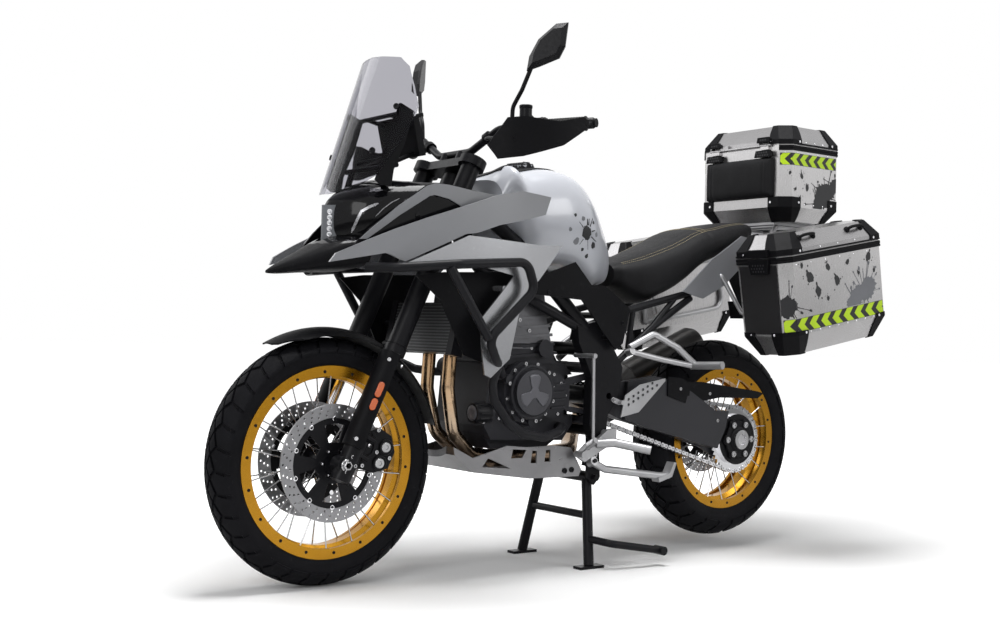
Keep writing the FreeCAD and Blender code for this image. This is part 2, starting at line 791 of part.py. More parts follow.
def make_clamps():
    lead = mm("leg_lead")
    stem = lead + mm("clamp_offset")
    half = mm("leg_spacing")
    pieces = []
    for name in ("top_clamp", "low_clamp"):
        low, high = name + "_height", "%s_height + %s_thickness" % (name, name)
        outline = [(lead - 20, -half), (lead - 20, half), (lead + 20, half), (stem + 22, 22), (stem + 22, -22),
                   (lead + 20, -half)]
        blank = [slab(outline, low, high)]
        for x, y, radius in ((lead, -half, "upper_leg_radius + 11"), (lead, half, "upper_leg_radius + 11"),
                             (stem, 0, "stem_radius + 18")):
            boss = doc.addObject("Part::Cylinder", "Boss")
            size(boss, "Radius", radius)
            size(boss, "Height", name + "_thickness")
            boss.Placement.Base = Vec(x, y, 0)
            boss.setExpression("Placement.Base.z", formula(low))
            blank.append(boss)
        pieces.append(fuse(blank))
    pin = doc.addObject("Part::Cylinder", "Stem")
    size(pin, "Radius", "stem_radius")
    size(pin, "Height", "top_clamp_height - low_clamp_height")
    pin.Placement.Base = Vec(stem, 0, 0)
    pin.setExpression("Placement.Base.z", formula("low_clamp_height"))
    nut = doc.addObject("Part::Cylinder", "Nut")
    nut.Radius = 17
    nut.Height = 12
    nut.Placement.Base = Vec(stem, 0, 0)
    nut.setExpression("Placement.Base.z", formula("top_clamp_height + top_clamp_thickness"))
    holes = []
    for y in (-half, half):
        hole = doc.addObject("Part::Cylinder", "Hole")
        size(hole, "Radius", "upper_leg_radius")
        hole.Height = 400
        hole.Placement.Base = Vec(lead, y, mm("low_clamp_height") - 50)
        holes.append(hole)
    clamps = cut(fuse(pieces + [pin, nut]), holes)
    whole = doc.addObject("Part::Compound", "Clamps")
    whole.Links = [clamps]
    in_fork_frame(whole)
    node("triple_clamps", [whole])


def bar_points():
    """The left half of the handlebar, from its centre to its end."""
    x, y, z = fork_point(mm("top_clamp_height") + mm("top_clamp_thickness") + mm("bar_clamp_rise"), mm("leg_lead") + 2)
    half = mm("bar_half_width")
    return [(x, 0, z), (x, -75, z), (x + 18, -185, z + 56), (x + 130, -half, z + 58)]


def make_handlebar():
    left = bar_points()
    path = [left[3], left[2], left[1]] + [(x, -y, z) for x, y, z in left[1:]]
    pieces = [tube(path, "bar_radius", 60)]
    bend, end = Vec(*left[2]), Vec(*left[3])
    way = (end - bend).normalize()
    grip = mm("grip_length")
    hand = [rod(end - way * grip, end, "grip_radius"),
            rod(end - way * (grip + 46), end - way * (grip - 1), 24)]
    foot = fork_point(mm("top_clamp_height") + mm("top_clamp_thickness"), mm("leg_lead") + 2, -38)
    hand.append(rod(foot, (left[0][0], -38, left[0][2]), 16))
    root = end - way * (grip + 24)
    hand.append(tube([tuple(root + Vec(-14, 0, -4)), tuple(root + Vec(-44, 0, -8)), tuple(end - way * 66 + Vec(-58, 0, -16)),
                      tuple(end - way * 14 + Vec(-46, 0, -22))], 6.5, 16))
    tank = rod(tuple(root + Vec(-30, 12, 16)), tuple(root + Vec(-30, 12, 48)), 17)
    hand.append(tank)
    hand.append(rod(tuple(root), tuple(root + Vec(-30, 12, 30)), 12))
    for piece in hand:
        pieces.extend(both(piece))
    node("handlebar", [fuse(pieces)])


def make_hand_guards():
    """Each guard is held by the bar's end and by a clamp further in."""
    left = bar_points()
    low, bend, end = Vec(*left[1]), Vec(*left[2]), Vec(*left[3])
    way = (end - bend).normalize()
    outline = [(271, 1166), (279, 1188), (304, 1238), (341, 1242), (377, 1237), (425, 1234), (495, 1252), (512, 1242),
               (508, 1223), (484, 1206), (436, 1172), (379, 1152), (337, 1138), (288, 1130)]
    plan = [(250, -290), (300, -380), (400, -440), (520, -462), (600, -465)]
    shell = curved_panel(outline, plan, "guard_wall")
    weight = rod(tuple(end + way * 0.3), tuple(end + way * 30), 12)
    link = rod(tuple(end + way * 20), (500, -456, 1230), 6)
    middle = low + (bend - low) * 0.62
    along = (bend - low).normalize()
    ring = rod(tuple(middle - along * 9), tuple(middle + along * 9), "bar_radius + 6")
    stay = tube([tuple(middle + Vec(-8, 0, -4)), (376, -200, 1210), (330, -330, 1190), (318, -398, 1184)], 6, 30)
    hole = rod(tuple(middle - along * 40), tuple(middle + along * 40), "bar_radius + 0.3")
    guard = cut(fuse([shell, weight, link, ring, stay]), [hole])
    node("hand_guards", both(guard))


def make_mirrors():
    left = bar_points()
    bend, end = Vec(*left[2]), Vec(*left[3])
    way = (end - bend).normalize()
    foot = bend + way * 38
    ring = rod(tuple(foot - way * 9), tuple(foot + way * 9), "bar_radius + 6")
    hole = rod(tuple(foot - way * 30), tuple(foot + way * 30), "bar_radius + 0.3")
    stem = tube([tuple(foot + Vec(0, 0, 13)), (441, -222, 1300), (450, -250, 1345), (462, -275, 1408)], 6, 40)
    across = Vec(0.68, -0.73, 0)
    front = Vec(-0.73, -0.68, 0)
    corner = Vec(454, -265, 0)
    face = [tuple(corner + across * along + Vec(0, 0, z)) for along, z in
            ((0, 1394), (6, 1433), (30, 1479), (78, 1521), (111, 1524), (104, 1459), (89, 1428), (35, 1406))]
    middle = Vec(495, -309, 1459)
    back = [tuple(middle + (Vec(*point) - middle) * 0.72 + front * 27) for point in face]
    rim = [tuple(Vec(*point) + front * 9) for point in face]
    head = [loft([polygon(face), polygon(rim)], True), loft([polygon(rim), polygon(back)], True)]
    node("mirrors", both(cut(fuse([ring, stem] + head), [hole])))


def make_fender():
    """A shell turned about the axle, cut to its plan, with a stay to each fork leg."""
    radius = mm("front_tyre_radius") + mm("fender_gap")
    half, wall = mm("fender_half_width"), mm("fender_wall")
    edge = radius - 14
    outer = Part.Arc(Vec(edge, half, 0), Vec(radius + wall + 6, 0, 0), Vec(edge, -half, 0))
    inner = Part.Arc(Vec(edge, -half + wall, 0), Vec(radius + 6, 0, 0), Vec(edge, half - wall, 0))
    caps = [Part.LineSegment(Vec(edge, -half, 0), Vec(edge, -half + wall, 0)),
            Part.LineSegment(Vec(edge, half - wall, 0), Vec(edge, half, 0))]
    section = doc.addObject("Part::Feature", "FenderSection")
    section.Shape = Part.Wire([outer.toShape(), caps[0].toShape(), inner.toShape(), caps[1].toShape()])
    section.Placement.Rotation = Turn(Vec(0, 1, 0), -119)
    turned = doc.addObject("Part::Revolution", "FenderShell")
    turned.Source = section
    turned.Axis = Vec(0, 1, 0)
    turned.Base = Vec(0, 0, 0)
    turned.Angle = 104
    turned.Solid = True
    top = [(-186, -6), (-158, -38), (-60, -68), (180, -70), (360, -52), (360, 52), (180, 70), (-60, 68), (-158, 38),
           (-186, 6)]
    shell = common([turned, slab(top, "0", "500")])
    lifted = doc.addObject("Part::Compound", "Fender")
    lifted.Links = [shell]
    lifted.setExpression("Placement.Base.z", formula("front_tyre_radius"))
    lead, spacing = mm("leg_lead"), mm("leg_spacing")
    stay = rod(fork_point(radius + 2, lead, -half + 6), fork_point(radius + 2, lead, -spacing), 13)
    leg = rod(fork_point(200, lead, -spacing), fork_point(500, lead, -spacing), "upper_leg_radius + 3.3")
    tyre_room = drum("0", "front_tyre_radius", "-fender_half_width", "fender_half_width", "front_tyre_radius + fender_gap - 2")
    node("front_fender", [fuse([lifted] + both(cut(stay, [leg, tyre_room])))])


def make_calipers():
    """A two-sided caliper on each disc, bolted to the fork leg's arms."""
    y, half = "front_disc_offset", "caliper_width / 2"
    lead = mm("leg_lead")
    points = []
    for behind, along in ((52, 30), (66, 14), (112, 20), (150, 48), (150, 96), (122, 130), (78, 136), (56, 118)):
        x, nothing, z = fork_point(along, lead - 13 + behind)
        points.append((x, z))
    body = plate(points, "-%s - %s" % (y, half), "-%s + %s" % (y, half))
    slot = drum("0", "front_tyre_radius", "-%s - disc_thickness / 2 - caliper_gap" % y,
                "-%s + disc_thickness / 2 + caliper_gap" % y, "front_disc_radius + 3")
    spokes_room = drum("0", "front_tyre_radius", "-%s - carrier_thickness / 2 - 2" % y,
                       "-front_hub_half_width + 60", "front_disc_bore + 7")
    node("front_calipers", both(cut(body, [slot, spokes_room])))


# Frame, engine and exhaust

def spars(extra):
    """The frame's upper spars, also used larger as room in the pieces round them."""
    behind = mm("leg_lead") + mm("clamp_offset") + 12
    top = fork_point(mm("top_clamp_height") - mm("head_tube_gap") - 34, behind)
    half = mm("frame_half_width")
    return both(tube([top, (450, -62, 1030), (560, -half + 18, 930), (780, -half - 16, 700)],
                     "spar_radius + %s" % extra, 120))


def braces(extra):
    """The lower pair of frame tubes."""
    behind = mm("leg_lead") + mm("clamp_offset") + 12
    low = fork_point(mm("low_clamp_height") + mm("low_clamp_thickness") + mm("head_tube_gap") + 34, behind)
    half = mm("frame_half_width")
    return both(tube([low, (455, -70, 855), (560, -half + 2, 790), (660, -half - 12, 745), (790, -half - 16, 690)],
                     "spar_radius - 5 + %s" % extra, 60))


def make_frame():
    behind = mm("leg_lead") + mm("clamp_offset")
    low = mm("low_clamp_height") + mm("low_clamp_thickness") + mm("head_tube_gap")
    high = mm("top_clamp_height") - mm("head_tube_gap")
    head = rod(fork_point(low, behind), fork_point(high, behind), "head_tube_radius")
    bore = rod(fork_point(low - 5, behind), fork_point(high + 5, behind), "stem_radius + 1")
    outline = [(742, 706), (812, 722), (885, 641), (920, 588), (908, 500), (865, 446), (861, 398), (812, 372),
               (796, 420), (800, 560), (748, 660)]
    side = [plate(outline, "-frame_half_width - frame_plate", "-frame_half_width"),
            spars("0")[0], braces("0")[0]]
    cross = [drum("850", "640", "-frame_half_width - 5", "frame_half_width + 5", 20),
             drum("840", "400", "-frame_half_width - 5", "frame_half_width + 5", 16)]
    hanger = [(808, 392), (852, 410), (862, 262), (838, 240), (812, 262)]
    pieces = [head] + cross
    for piece in side:
        pieces.extend(both(piece))
    pieces.extend(both(plate(hanger, "-frame_half_width - 8", "-frame_half_width")))
    holes = [bore, drum("pivot_station", "pivot_height", "-240", "240", 10),
             drum("stand_pivot_station", "stand_pivot_height", "-240", "240", "stand_pivot_radius - 3")]
    node("main_frame", [cut(fuse(pieces), holes)])


def make_subframe():
    """A tubular rear frame bolted to the frame's side plates."""
    r = "subframe_radius"
    y = mm("subframe_half_width")
    join = mm("frame_half_width") + mm("frame_plate") / 2
    side = [tube([(828, -y + 8, 712), (965, -y, 758), (1232, -y, 822), (1420, -y, 935), (1585, -y + 6, 984)], r, 80),
            tube([(924, -join + 10, 606), (1060, -y - 8, 706), (1235, -y, 806)], r, 60),
            rod((968, -y - 8, 644), (992, -y, 756), "subframe_radius - 2"),
            rod((1060, -y - 8, 706), (1165, -y, 800), "subframe_radius - 2")]
    cross = [rod((station, -y, height), (station, y, height), "subframe_radius - 1")
             for station, height in ((920, 742), (1245, 830), (1560, 977))]
    pieces = []
    for piece in side:
        pieces.extend(both(piece))
    lugs = both(drum("840", "716", "-subframe_half_width - 7", "-subframe_half_width + 30", 9))
    frame_room = both(plate([(700, 690), (742, 706.3), (812, 722.3), (885.3, 641.3), (920.3, 588), (908, 480), (700, 480)],
                            "-frame_half_width - frame_plate - 0.3", "-frame_half_width + 0.3"))
    spar_room = both(rod((560, -mm("frame_half_width") + 18, 930), (790, -mm("frame_half_width") - 16.7, 689.5),
                         "spar_radius + 0.3"))
    node("subframe", [cut(fuse(pieces + cross), frame_room + spar_room)])


def make_engine():
    half = mm("engine_half_width")
    x, z = mm("crank_station"), mm("crank_height")
    case = plate([(455, 420), (480, 380), (740, 372), (778, 420), (778, 560), (738, 600), (560, 618), (470, 596)],
                 "-engine_half_width + 32", "engine_half_width - 10")
    sump = plate([(470, 392), (500, 352), (700, 352), (745, 380)], "-82", "82")
    block = plate([(476, 590), (700, 596), (652, 772), (432, 742)], "-116", "116")
    head = plate([(428, 738), (652, 770), (640, 838), (440, 828)], "-124", "124")
    lid = plate([(442, 822), (640, 832), (634, 852), (452, 842)], "-112", "112")
    fins = []
    for index in range(5):
        up = 26 * index
        fins.append(plate([(470 - 9 * index, 604 + up), (702 - 9 * index, 624 + up), (701 - 9 * index, 632 + up),
                           (469 - 9 * index, 612 + up)], "-122", "122"))
    cover = drum("crank_station", "crank_height", "-engine_half_width - 2", "-engine_half_width + 36",
                 "generator_radius + 14")
    lip = drum("crank_station", "crank_height", "-engine_half_width - 16", "-engine_half_width", "generator_radius + 2")
    dome = drum("crank_station", "crank_height", "-engine_half_width - 26", "-engine_half_width - 10",
                "generator_radius - 12")
    lobes = []
    for turn in (35, 155, 275):
        a = math.radians(turn)
        r = mm("generator_radius") + 8
        lobes.append(rod((x + r * math.cos(a), -half - 10, z + r * math.sin(a)),
                         (x + r * math.cos(a), -half + 36, z + r * math.sin(a)), 15))
    arm = plate([(622, 584), (700, 566), (722, 544), (722, 470), (690, 444), (622, 446)], "-engine_half_width - 4",
                "-engine_half_width + 36")
    ribs = []
    for index in range(4):
        up = 466 + 22 * index
        ribs.append(plate([(664, up), (718, up + 4), (718, up + 9), (664, up + 5)], "-engine_half_width - 9",
                          "-engine_half_width"))
    guide = plate([(716, 470), (716, 545), (736, 556), (800, 568), (818, 552), (800, 548), (742, 536), (742, 474),
                   (800, 462), (800, 450), (736, 458)], "-engine_half_width + 6", "-engine_half_width + 12")
    clutch = drum("crank_station + 92", "crank_height - 18", "engine_half_width - 14", "engine_half_width + 26", 88)
    rotor = drum("crank_station - 26", "crank_height - 14", "engine_half_width - 14", "engine_half_width + 12", 66)
    pump = drum("crank_station - 96", "crank_height + 62", "engine_half_width - 60", "engine_half_width + 6", 30)
    oil_filter = rod((420, -100, 456), (478, -100, 456), 28)
    starter = drum("652", "640", "-engine_half_width + 6", "0", 26)
    mount = [drum("812", "585", "-frame_half_width + 0.3", "frame_half_width - 0.3", 16),
             plate([(740, 560), (812, 602), (812, 566), (760, 540)], "-40", "40"),
             drum("812", "430", "-frame_half_width + 0.3", "frame_half_width - 0.3", 14),
             plate([(740, 410), (812, 446), (812, 416), (740, 380)], "-40", "40")]
    whole = fuse([case, sump, block, head, lid, cover, lip, dome, arm, clutch, rotor, pump, oil_filter, starter]
                 + fins + lobes + ribs + mount + [guide])
    room = drum("front_sprocket_station", "front_sprocket_height", "-chain_plane - 15", "-chain_plane + 16",
                pitch_radius(int(mm("front_sprocket_teeth"))) + 10)
    slot = plate([(744, 562), (852, 572), (852, 440), (744, 446)], "-chain_plane - 15", "-chain_plane + 16")
    node("engine", [cut(whole, [room, slot] + spars("0.4") + braces("0.4"))])


def make_exhaust():
    """Two header pipes into one collector that runs back to the silencer on the right."""
    r = "header_radius"
    y = mm("header_spacing")
    left = tube([(424, -y - 8, 738), (372, -y - 8, 700), (362, -y - 8, 520), (396, -y + 10, 396), (470, -y + 24, 332),
                 (620, -12, 316)], r, 60)
    right = tube([(424, y - 8, 738), (372, y - 8, 700), (362, y - 8, 520), (396, y - 4, 396), (470, y - 14, 332),
                  (620, 12, 316)], r, 60)
    run = tube([(560, 0, 316), (760, 22, 316), (905, 58, 322), (1010, 168, 386), (1100, 190, 448), (1222, 190, 520)],
               "collector_radius", 80)
    ports = []
    for side in (-y - 8, y - 8):
        ports.append(rod((430, side, 742), (414, side, 730), 27))
    head_room = plate([(469, 588), (700, 588), (652, 772), (640, 840), (439.5, 828), (427.5, 738), (427.5, 716),
                       (433, 700)], "-140", "140")
    node("exhaust_headers", [cut(fuse([left, right, run] + ports), [head_room])])
    start, finish = (1222, 190, 520), (1560, 190, 662)
    line = (Vec(*finish) - Vec(*start)).normalize()
    can = [rod(tuple(Vec(*start) + line * 40), finish, "muffler_radius"),
           loft([ring_wire(Vec(*start) + line * 4.6, line, mm("collector_radius") + 4),
                 ring_wire(Vec(*start) + line * 42, line, mm("muffler_radius") - 3)], True),
           rod(tuple(Vec(*finish) - line * 4), tuple(Vec(*finish) + line * 16), "muffler_radius - 8"),
           rod(finish, tuple(Vec(*finish) + line * 34), 20)]
    bore = rod(tuple(Vec(*finish) - line * 30), tuple(Vec(*finish) + line * 60), 17)
    node("muffler", [cut(fuse(can), [bore])])


def ring_wire(centre, line, radius):
    return Part.Wire(Part.makeCircle(radius, centre, line))


def make_radiator():
    core = block((-15, -150, -70), (30, 300, 140))
    parts = [core, block((-18, -172, -76), (36, 26, 152)), block((-18, 146, -76), (36, 26, 152))]
    parts.append(rod((-3, -120, 60), (-3, -120, 84), 17))




    whole = doc.addObject("Part::Compound", "RadiatorCore")
    whole.Links = [fuse(parts)]
    whole.Placement = FreeCAD.Placement(Vec(324, 0, 690), Turn(Vec(0, 1, 0), 12))
    stays = both(rod((344, -104, 742), (427.4, -104, 742), 7))
    node("radiator", [fuse([whole] + stays)])


def make_skid_plate():
    side = [(322, 368), (388, 336), (505, 366), (574, 360), (677, 362), (739, 354), (779, 290), (770, 270), (588, 271),
            (392, 296), (326, 346)]
    body = plate(side, "-skid_half_width", "skid_half_width")
    inside = plate([(300, 392), (392, 306), (588, 281), (790, 280), (790, 400), (300, 420)],
                   "-skid_half_width + skid_wall", "skid_half_width - skid_wall")
    holes = []
    for points in ([(520, 330), (560, 330), (574, 352), (526, 356)], [(590, 314), (612, 314), (612, 348), (596, 350)],
                   [(640, 316), (662, 316), (662, 350), (646, 350)], [(420, 310), (520, 302), (440, 334)]):
        holes.append(plate(points, "-skid_half_width - 20", "skid_half_width + 20"))
    sweep = rod((57, 0, 200), (57, 0, 500), 290)
    node("skid_plate", [cut(body, [inside, sweep] + holes)])


def crash_bar_paths():
    upper = [(28, -158, 842), (75, -238, 842), (225, -298, 857), (440, -306, 873), (468, -306, 800), (322, -300, 664),
             (358, -284, 612), (432, -215, 568), (466, -150, 562), (486, -108.4, 564)]
    lower = [(385, -262, 600), (388, -232, 545), (402, -222, 498), (455, -216, 438), (520, -208, 402), (600, -200, 391),
             (662, -184, 404), (706, -148, 412), (724, -108.4, 414)]
    return upper, lower


def make_crash_bars():
    """Tubes from the case round the panels to the nose, with a lower loop round the engine."""
    r = "crash_bar_radius"
    upper, lower = crash_bar_paths()
    bars = both(fuse([tube(upper, r, 36), rod((200, -291, 848), (322, -300, 664), r), tube(lower, r, 40)]))
    room = [plate([(454.7, 420), (479.7, 379.7), (740, 371.7), (778.3, 420), (778.3, 560), (738, 600.3), (560, 618.3),
                   (469.7, 596)], "-engine_half_width + 31.7", "engine_half_width - 9.7"),
            drum("crank_station + 92", "crank_height - 18", "engine_half_width - 14", "engine_half_width + 26.3", 88.3),
            drum("crank_station - 26", "crank_height - 14", "engine_half_width - 14", "engine_half_width + 12.3", 66.3),
            drum("crank_station - 96", "crank_height + 62", "engine_half_width - 60", "engine_half_width + 6.3", 30.3)]
    node("crash_bars", [cut(bars[0], room[:1]), cut(bars[1], room)])
# Bodywork

def rails(extra):
    """The subframe's upper rails, for the pieces that fit round them."""
    y = mm("subframe_half_width")
    return both(tube([(828, -y + 8, 712), (965, -y, 758), (1232, -y, 822), (1420, -y, 935), (1585, -y + 6, 984)],
                     "subframe_radius + %s" % extra, 80))


def make_tank():
    sections = [egg(490, 120, 1000, 1120, 2.6), egg(560, 165, 930, 1150, 2.8), egg(650, 180, 862, 1165, 3),
                egg(740, 178, 862, 1158, 3), egg(810, 160, 826, 1113, 3), egg(880, 118, 826, 1040, 2.8),
                egg(935, 75, 836, 975, 2.6), egg(957, 45, 850, 930, 2.4)]
    cap = rod((640, 0, 1140), (636, 0, 1176), 46)
    ring = rod((637, 0, 1168), (635, 0, 1182), 34)
    seat_room = loft([egg(954, 92, 806, 925, 3), egg(1060, 132, 756, 950, 3)])
    head_room = plate([(428, 700), (428, 860), (660, 860), (660, 700)], "-140", "140")
    node("fuel_tank", [cut(fuse([loft(sections), cap, ring]), spars("0.5") + [head_room, seat_room])])


def make_seat():
    """Driver's and passenger's places in one, on the subframe's rails."""
    sections = [egg(962, 82, 828, 905, 3), egg(1060, 122, 778, 936, 3), egg(1200, 148, 838, 990, 3.4),
                egg(1290, 148, 900, 1028, 3.4), egg(1420, 138, 968, 1056, 3.4), egg(1550, 112, 1002, 1070, 3)]
    node("seat", [cut(loft(sections), rails("0.4"))])


BAND_PLAN = [(-40, -135), (100, -172), (300, -196), (520, -196)]
WING_PLAN = [(-180, -120), (0, -200), (200, -245), (450, -262), (680, -228)]
SILVER_PLAN = [(60, -222), (250, -262), (450, -272), (640, -238)]
SHROUD_PLAN = [(60, -185), (300, -215), (500, -225)]


def inward(plan, amount):
    return [(x, y + amount) for x, y in plan]


def boss(station, height, y_from, y_to, radius=8):
    return drum(str(station), str(height), str(y_from), str(y_to), radius)


def make_fairings():
    """A long upper wing and a narrow band above it on each side."""
    wing = [(-87, 850), (-72, 873), (1, 909), (79, 944), (166, 978), (257, 1010), (296, 1024), (371, 1051), (453, 1068),
            (560, 1060), (540, 1010), (466, 990), (377, 970), (308, 945), (274, 940), (103, 860), (52, 879)]
    band = [(11, 915), (41, 945), (114, 1009), (192, 1065), (216, 1074), (258, 1073), (338, 1063), (423, 1057),
            (440, 1040), (300, 1017), (259, 1035), (216, 1043), (199, 1039), (115, 983), (29, 916)]
    panel = fuse([curved_panel(wing, WING_PLAN, "panel_wall + 2"), boss(200, 970, -242, -183.6)])
    upper = curved_panel(band, BAND_PLAN, "panel_wall")
    node("side_fairings", both(panel) + both(upper))


def make_lower_panels():
    silver = [(104, 855), (276, 937), (507, 924), (613, 931), (514, 829), (451, 856), (322, 717), (352, 561),
              (413, 609), (441, 731), (451, 800), (423, 846), (309, 862), (221, 868)]
    outline = [(104, 856), (276, 936), (507, 924), (610, 930), (514, 829), (470, 790), (441, 731), (413, 612),
               (352, 561), (333, 569), (322, 635), (317, 717), (423, 836), (309, 857), (221, 863)]
    panel = curved_panel(outline, SILVER_PLAN)
    upper, lower = crash_bar_paths()
    room = [tube(upper, "crash_bar_radius + 0.4", 36), tube(lower, "crash_bar_radius + 0.4", 40)]
    node("lower_panels", both(fuse([cut(panel, room), boss(395, 800, -268, -223)])))


def make_shrouds():
    outline = [(154, 827), (229, 764), (302, 620), (378, 594), (361, 685), (380, 740), (465, 849), (239, 839)]
    panel = curved_panel(outline, SHROUD_PLAN)
    node("radiator_shrouds", both(fuse([panel, boss(326, 700, -213, -172.4, 9)])))


def screen_column(radius):
    """An upright column that leans back as the screen does."""
    ring = doc.addObject("Part::Feature", "Ring")
    ring.Shape = Part.Wire(Part.makeCircle(radius, Vec(mm("screen_radius") - 8 - 0.334 * 130, 0, 900), Vec(0, 0, 1)))
    column = doc.addObject("Part::Extrusion", "Column")
    column.Base = ring
    column.DirMode = "Custom"
    column.Dir = Vec(0.334, 0, 1)
    column.LengthFwd = 620 * math.sqrt(1 + 0.334 ** 2)
    column.Solid = True
    return column


def front_view(points, x_from, x_to):
    """A solid with this outline as seen from ahead; the outline is given for one side."""
    ring = [(x_from, y, z) for y, z in points] + [(x_from, -y, z) for y, z in reversed(points) if y > 0]
    outline = doc.addObject("Part::Feature", "FrontOutline")
    outline.Shape = polygon(ring)
    item = doc.addObject("Part::Extrusion", "FrontView")
    item.Base = outline
    item.DirMode = "Custom"
    item.Dir = Vec(1, 0, 0)
    item.LengthFwd = x_to - x_from
    item.Solid = True
    return item


def make_windscreen():
    radius, wall = mm("screen_radius"), mm("screen_wall")
    edge = [(0, 1040), (79, 1044), (113, 1070), (133, 1089), (154, 1182), (162, 1255), (162, 1278), (147, 1332),
            (126, 1388), (100, 1414), (46, 1421), (0, 1424)]
    shell = cut(screen_column(radius), [screen_column(radius - wall)])
    node("windscreen", [common([shell, front_view(edge, -60, 262)])])


def make_nose():
    sections = [egg(-16, 8, 928, 1000, 2.6), egg(0, 28, 920, 1022, 2.8), egg(30, 70, 905, 1045, 3),
                egg(80, 110, 893, 1070, 3), egg(170, 138, 885, 1090, 3), egg(300, 150, 905, 1110, 3)]
    beak = [egg(-178, 6, 821, 829, 2.4, 8), egg(-120, 45, 823, 862, 2.6, 8), egg(-60, 78, 828, 895, 2.6, 8),
            egg(0, 100, 832, 925, 2.8, 8), egg(70, 112, 846, 930, 2.8, 8)]
    infill = [(-9, 890), (13, 918), (41, 947), (114, 1011), (192, 1067), (258, 1075), (338, 1065), (440, 1052), (430, 1040),
              (371, 1020), (257, 978), (79, 912), (10, 884)]
    side = []
    for piece in (curved_panel(infill, inward(BAND_PLAN, 5.3)), boss(170, 985, -179, -120, 9),
                  boss(60, 912, -155, -80, 9)):
        side.extend(both(piece))
    whole = fuse([loft(sections), loft(beak)] + side)
    axis = mm("leg_lead") + mm("clamp_offset")
    steering = rod(fork_point(480, axis), fork_point(1100, axis), "steering_room + 6")
    radius, wall = mm("screen_radius"), mm("screen_wall")
    slot = common([cut(screen_column(radius + 0.4), [screen_column(radius - wall - 0.4)]),
                   block((-80, -220, 1038), (500, 440, 400))])
    lamp = slab([(-40, -8), (15, -36), (30, -36), (30, 36), (15, 36), (-40, 8)], "912", "1011")
    room = loft([egg(40, 56, 920, 1012, 4), egg(150, 112, 905, 1066, 4), egg(310, 132, 915, 1130, 4)])
    glow = rod((20, 0, 962), (70, 0, 962), 31)
    node("nose_cowl", [cut(whole, [steering, slot, lamp, room, glow])])
    lens = slab([(-18, -4), (12, -34), (29.6, -34), (29.6, 34), (12, 34), (-18, 4)], "913", "1010")
    reflector = rod((29.4, 0, 962), (58, 0, 962), 30)
    node("headlight", [fuse([lens, reflector])])


def make_cluster():
    """A tall display on a bracket that also carries the screen."""
    inside = screen_column(mm("screen_radius") - mm("screen_wall") - 0.4)
    bracket = [(109, 1275), (135, 1285), (177, 1268), (148, 1173), (118, 1105), (112, 1062), (80, 1062), (44, 1087),
               (60, 1156), (90, 1235)]
    wings = []
    for piece in both(plate(bracket, "-134", "-128")):
        wings.append(common([piece, inside]))
    stay = [rod((150, -131, 1262), (150, 131, 1262), 6), rod((128, -131, 1120), (128, 131, 1120), 7)]
    foot = [rod((112, side * 96, 1068), (128, side * 96, 1122), 9) for side in (-1, 1)]
    display = block((-9, -92, 0), (20, 184, 112))
    hood = block((-12, -98, 104), (34, 196, 10))
    head = doc.addObject("Part::Compound", "Display")
    head.Links = [fuse([display, hood])]
    head.Placement = FreeCAD.Placement(Vec(236, 0, 1158), Turn(Vec(0, 1, 0), -14))
    arms = [rod((150, side * 60, 1262), (216, side * 60, 1250), 6) for side in (-1, 1)]
    low = [rod((128, side * 60, 1120), (240, side * 60, 1172), 6) for side in (-1, 1)]
    nose_room = loft([egg(-16, 8.5, 927, 1001, 2.6), egg(0, 28.6, 919, 1023, 2.8), egg(30, 70.8, 904, 1046, 3),
                      egg(80, 110.8, 892, 1071, 3), egg(170, 138.8, 884, 1091, 3), egg(300, 150.8, 904, 1111, 3)])
    node("instrument_cluster", [cut(fuse(wings + stay + foot + [head] + arms + low), [nose_room])])


def make_side_covers():
    outline = [(556, 835), (566, 792), (727, 782), (806, 698), (870, 640), (905, 660), (940, 762), (813, 827), (763, 826),
               (700, 890)]
    plan = [(520, -184), (700, -198), (850, -192), (960, -164)]
    panel = fuse([curved_panel(outline, plan), boss(840, 676, -190, -166.4, 7)])
    node("side_covers", both(cut(panel, [tank_room()])))


def tank_room():
    return loft([egg(490, 121, 999, 1121, 2.6), egg(560, 166, 929, 1151, 2.8), egg(650, 181, 861, 1166, 3),
                 egg(740, 179, 861, 1159, 3), egg(810, 161, 825, 1114, 3), egg(880, 119, 825, 1041, 2.8),
                 egg(935, 76, 835, 976, 2.6), egg(958, 46, 849, 931, 2.4)])


def make_tail():
    outline = [(1170, 824), (1254, 805), (1345, 849), (1425, 910), (1520, 963), (1520, 1003), (1428, 1012), (1290, 930)]
    plan = [(1150, -158), (1300, -166), (1450, -158), (1580, -132)]
    panel = fuse([curved_panel(outline, plan), boss(1300, 862, -162, -137.4)])
    node("tail_panels", both(panel))
    lamp = block((1571, -75, 948), (32, 150, 46))
    holder = plate([(1571, 950), (1600, 950), (1652, 806), (1640, 800), (1571, 905)], "-42", "42")
    backing = block((-2, -88, 0), (4, 176, 60))
    card = doc.addObject("Part::Compound", "PlateHolder")
    card.Links = [backing]
    card.Placement = FreeCAD.Placement(Vec(1650, 0, 752), Turn(Vec(0, 1, 0), -14))
    stalks = rod((1600, -150, 905), (1600, 150, 905), 6)
    lamps = [rod((1580, side * 150, 905), (1622, side * 150, 905), 16) for side in (-1, 1)]
    arm = rod((1560, 0, 938), (1580, 0, 955), 12)
    frame_room = rod((1560, -150, 977), (1560, 150, 977), "subframe_radius - 0.7")
    link = block((1560, -30, 944), (14, 60, 24))
    node("tail_unit", [cut(fuse([lamp, holder, card, stalks, link] + lamps), [frame_room])])


# Swingarm and rear end

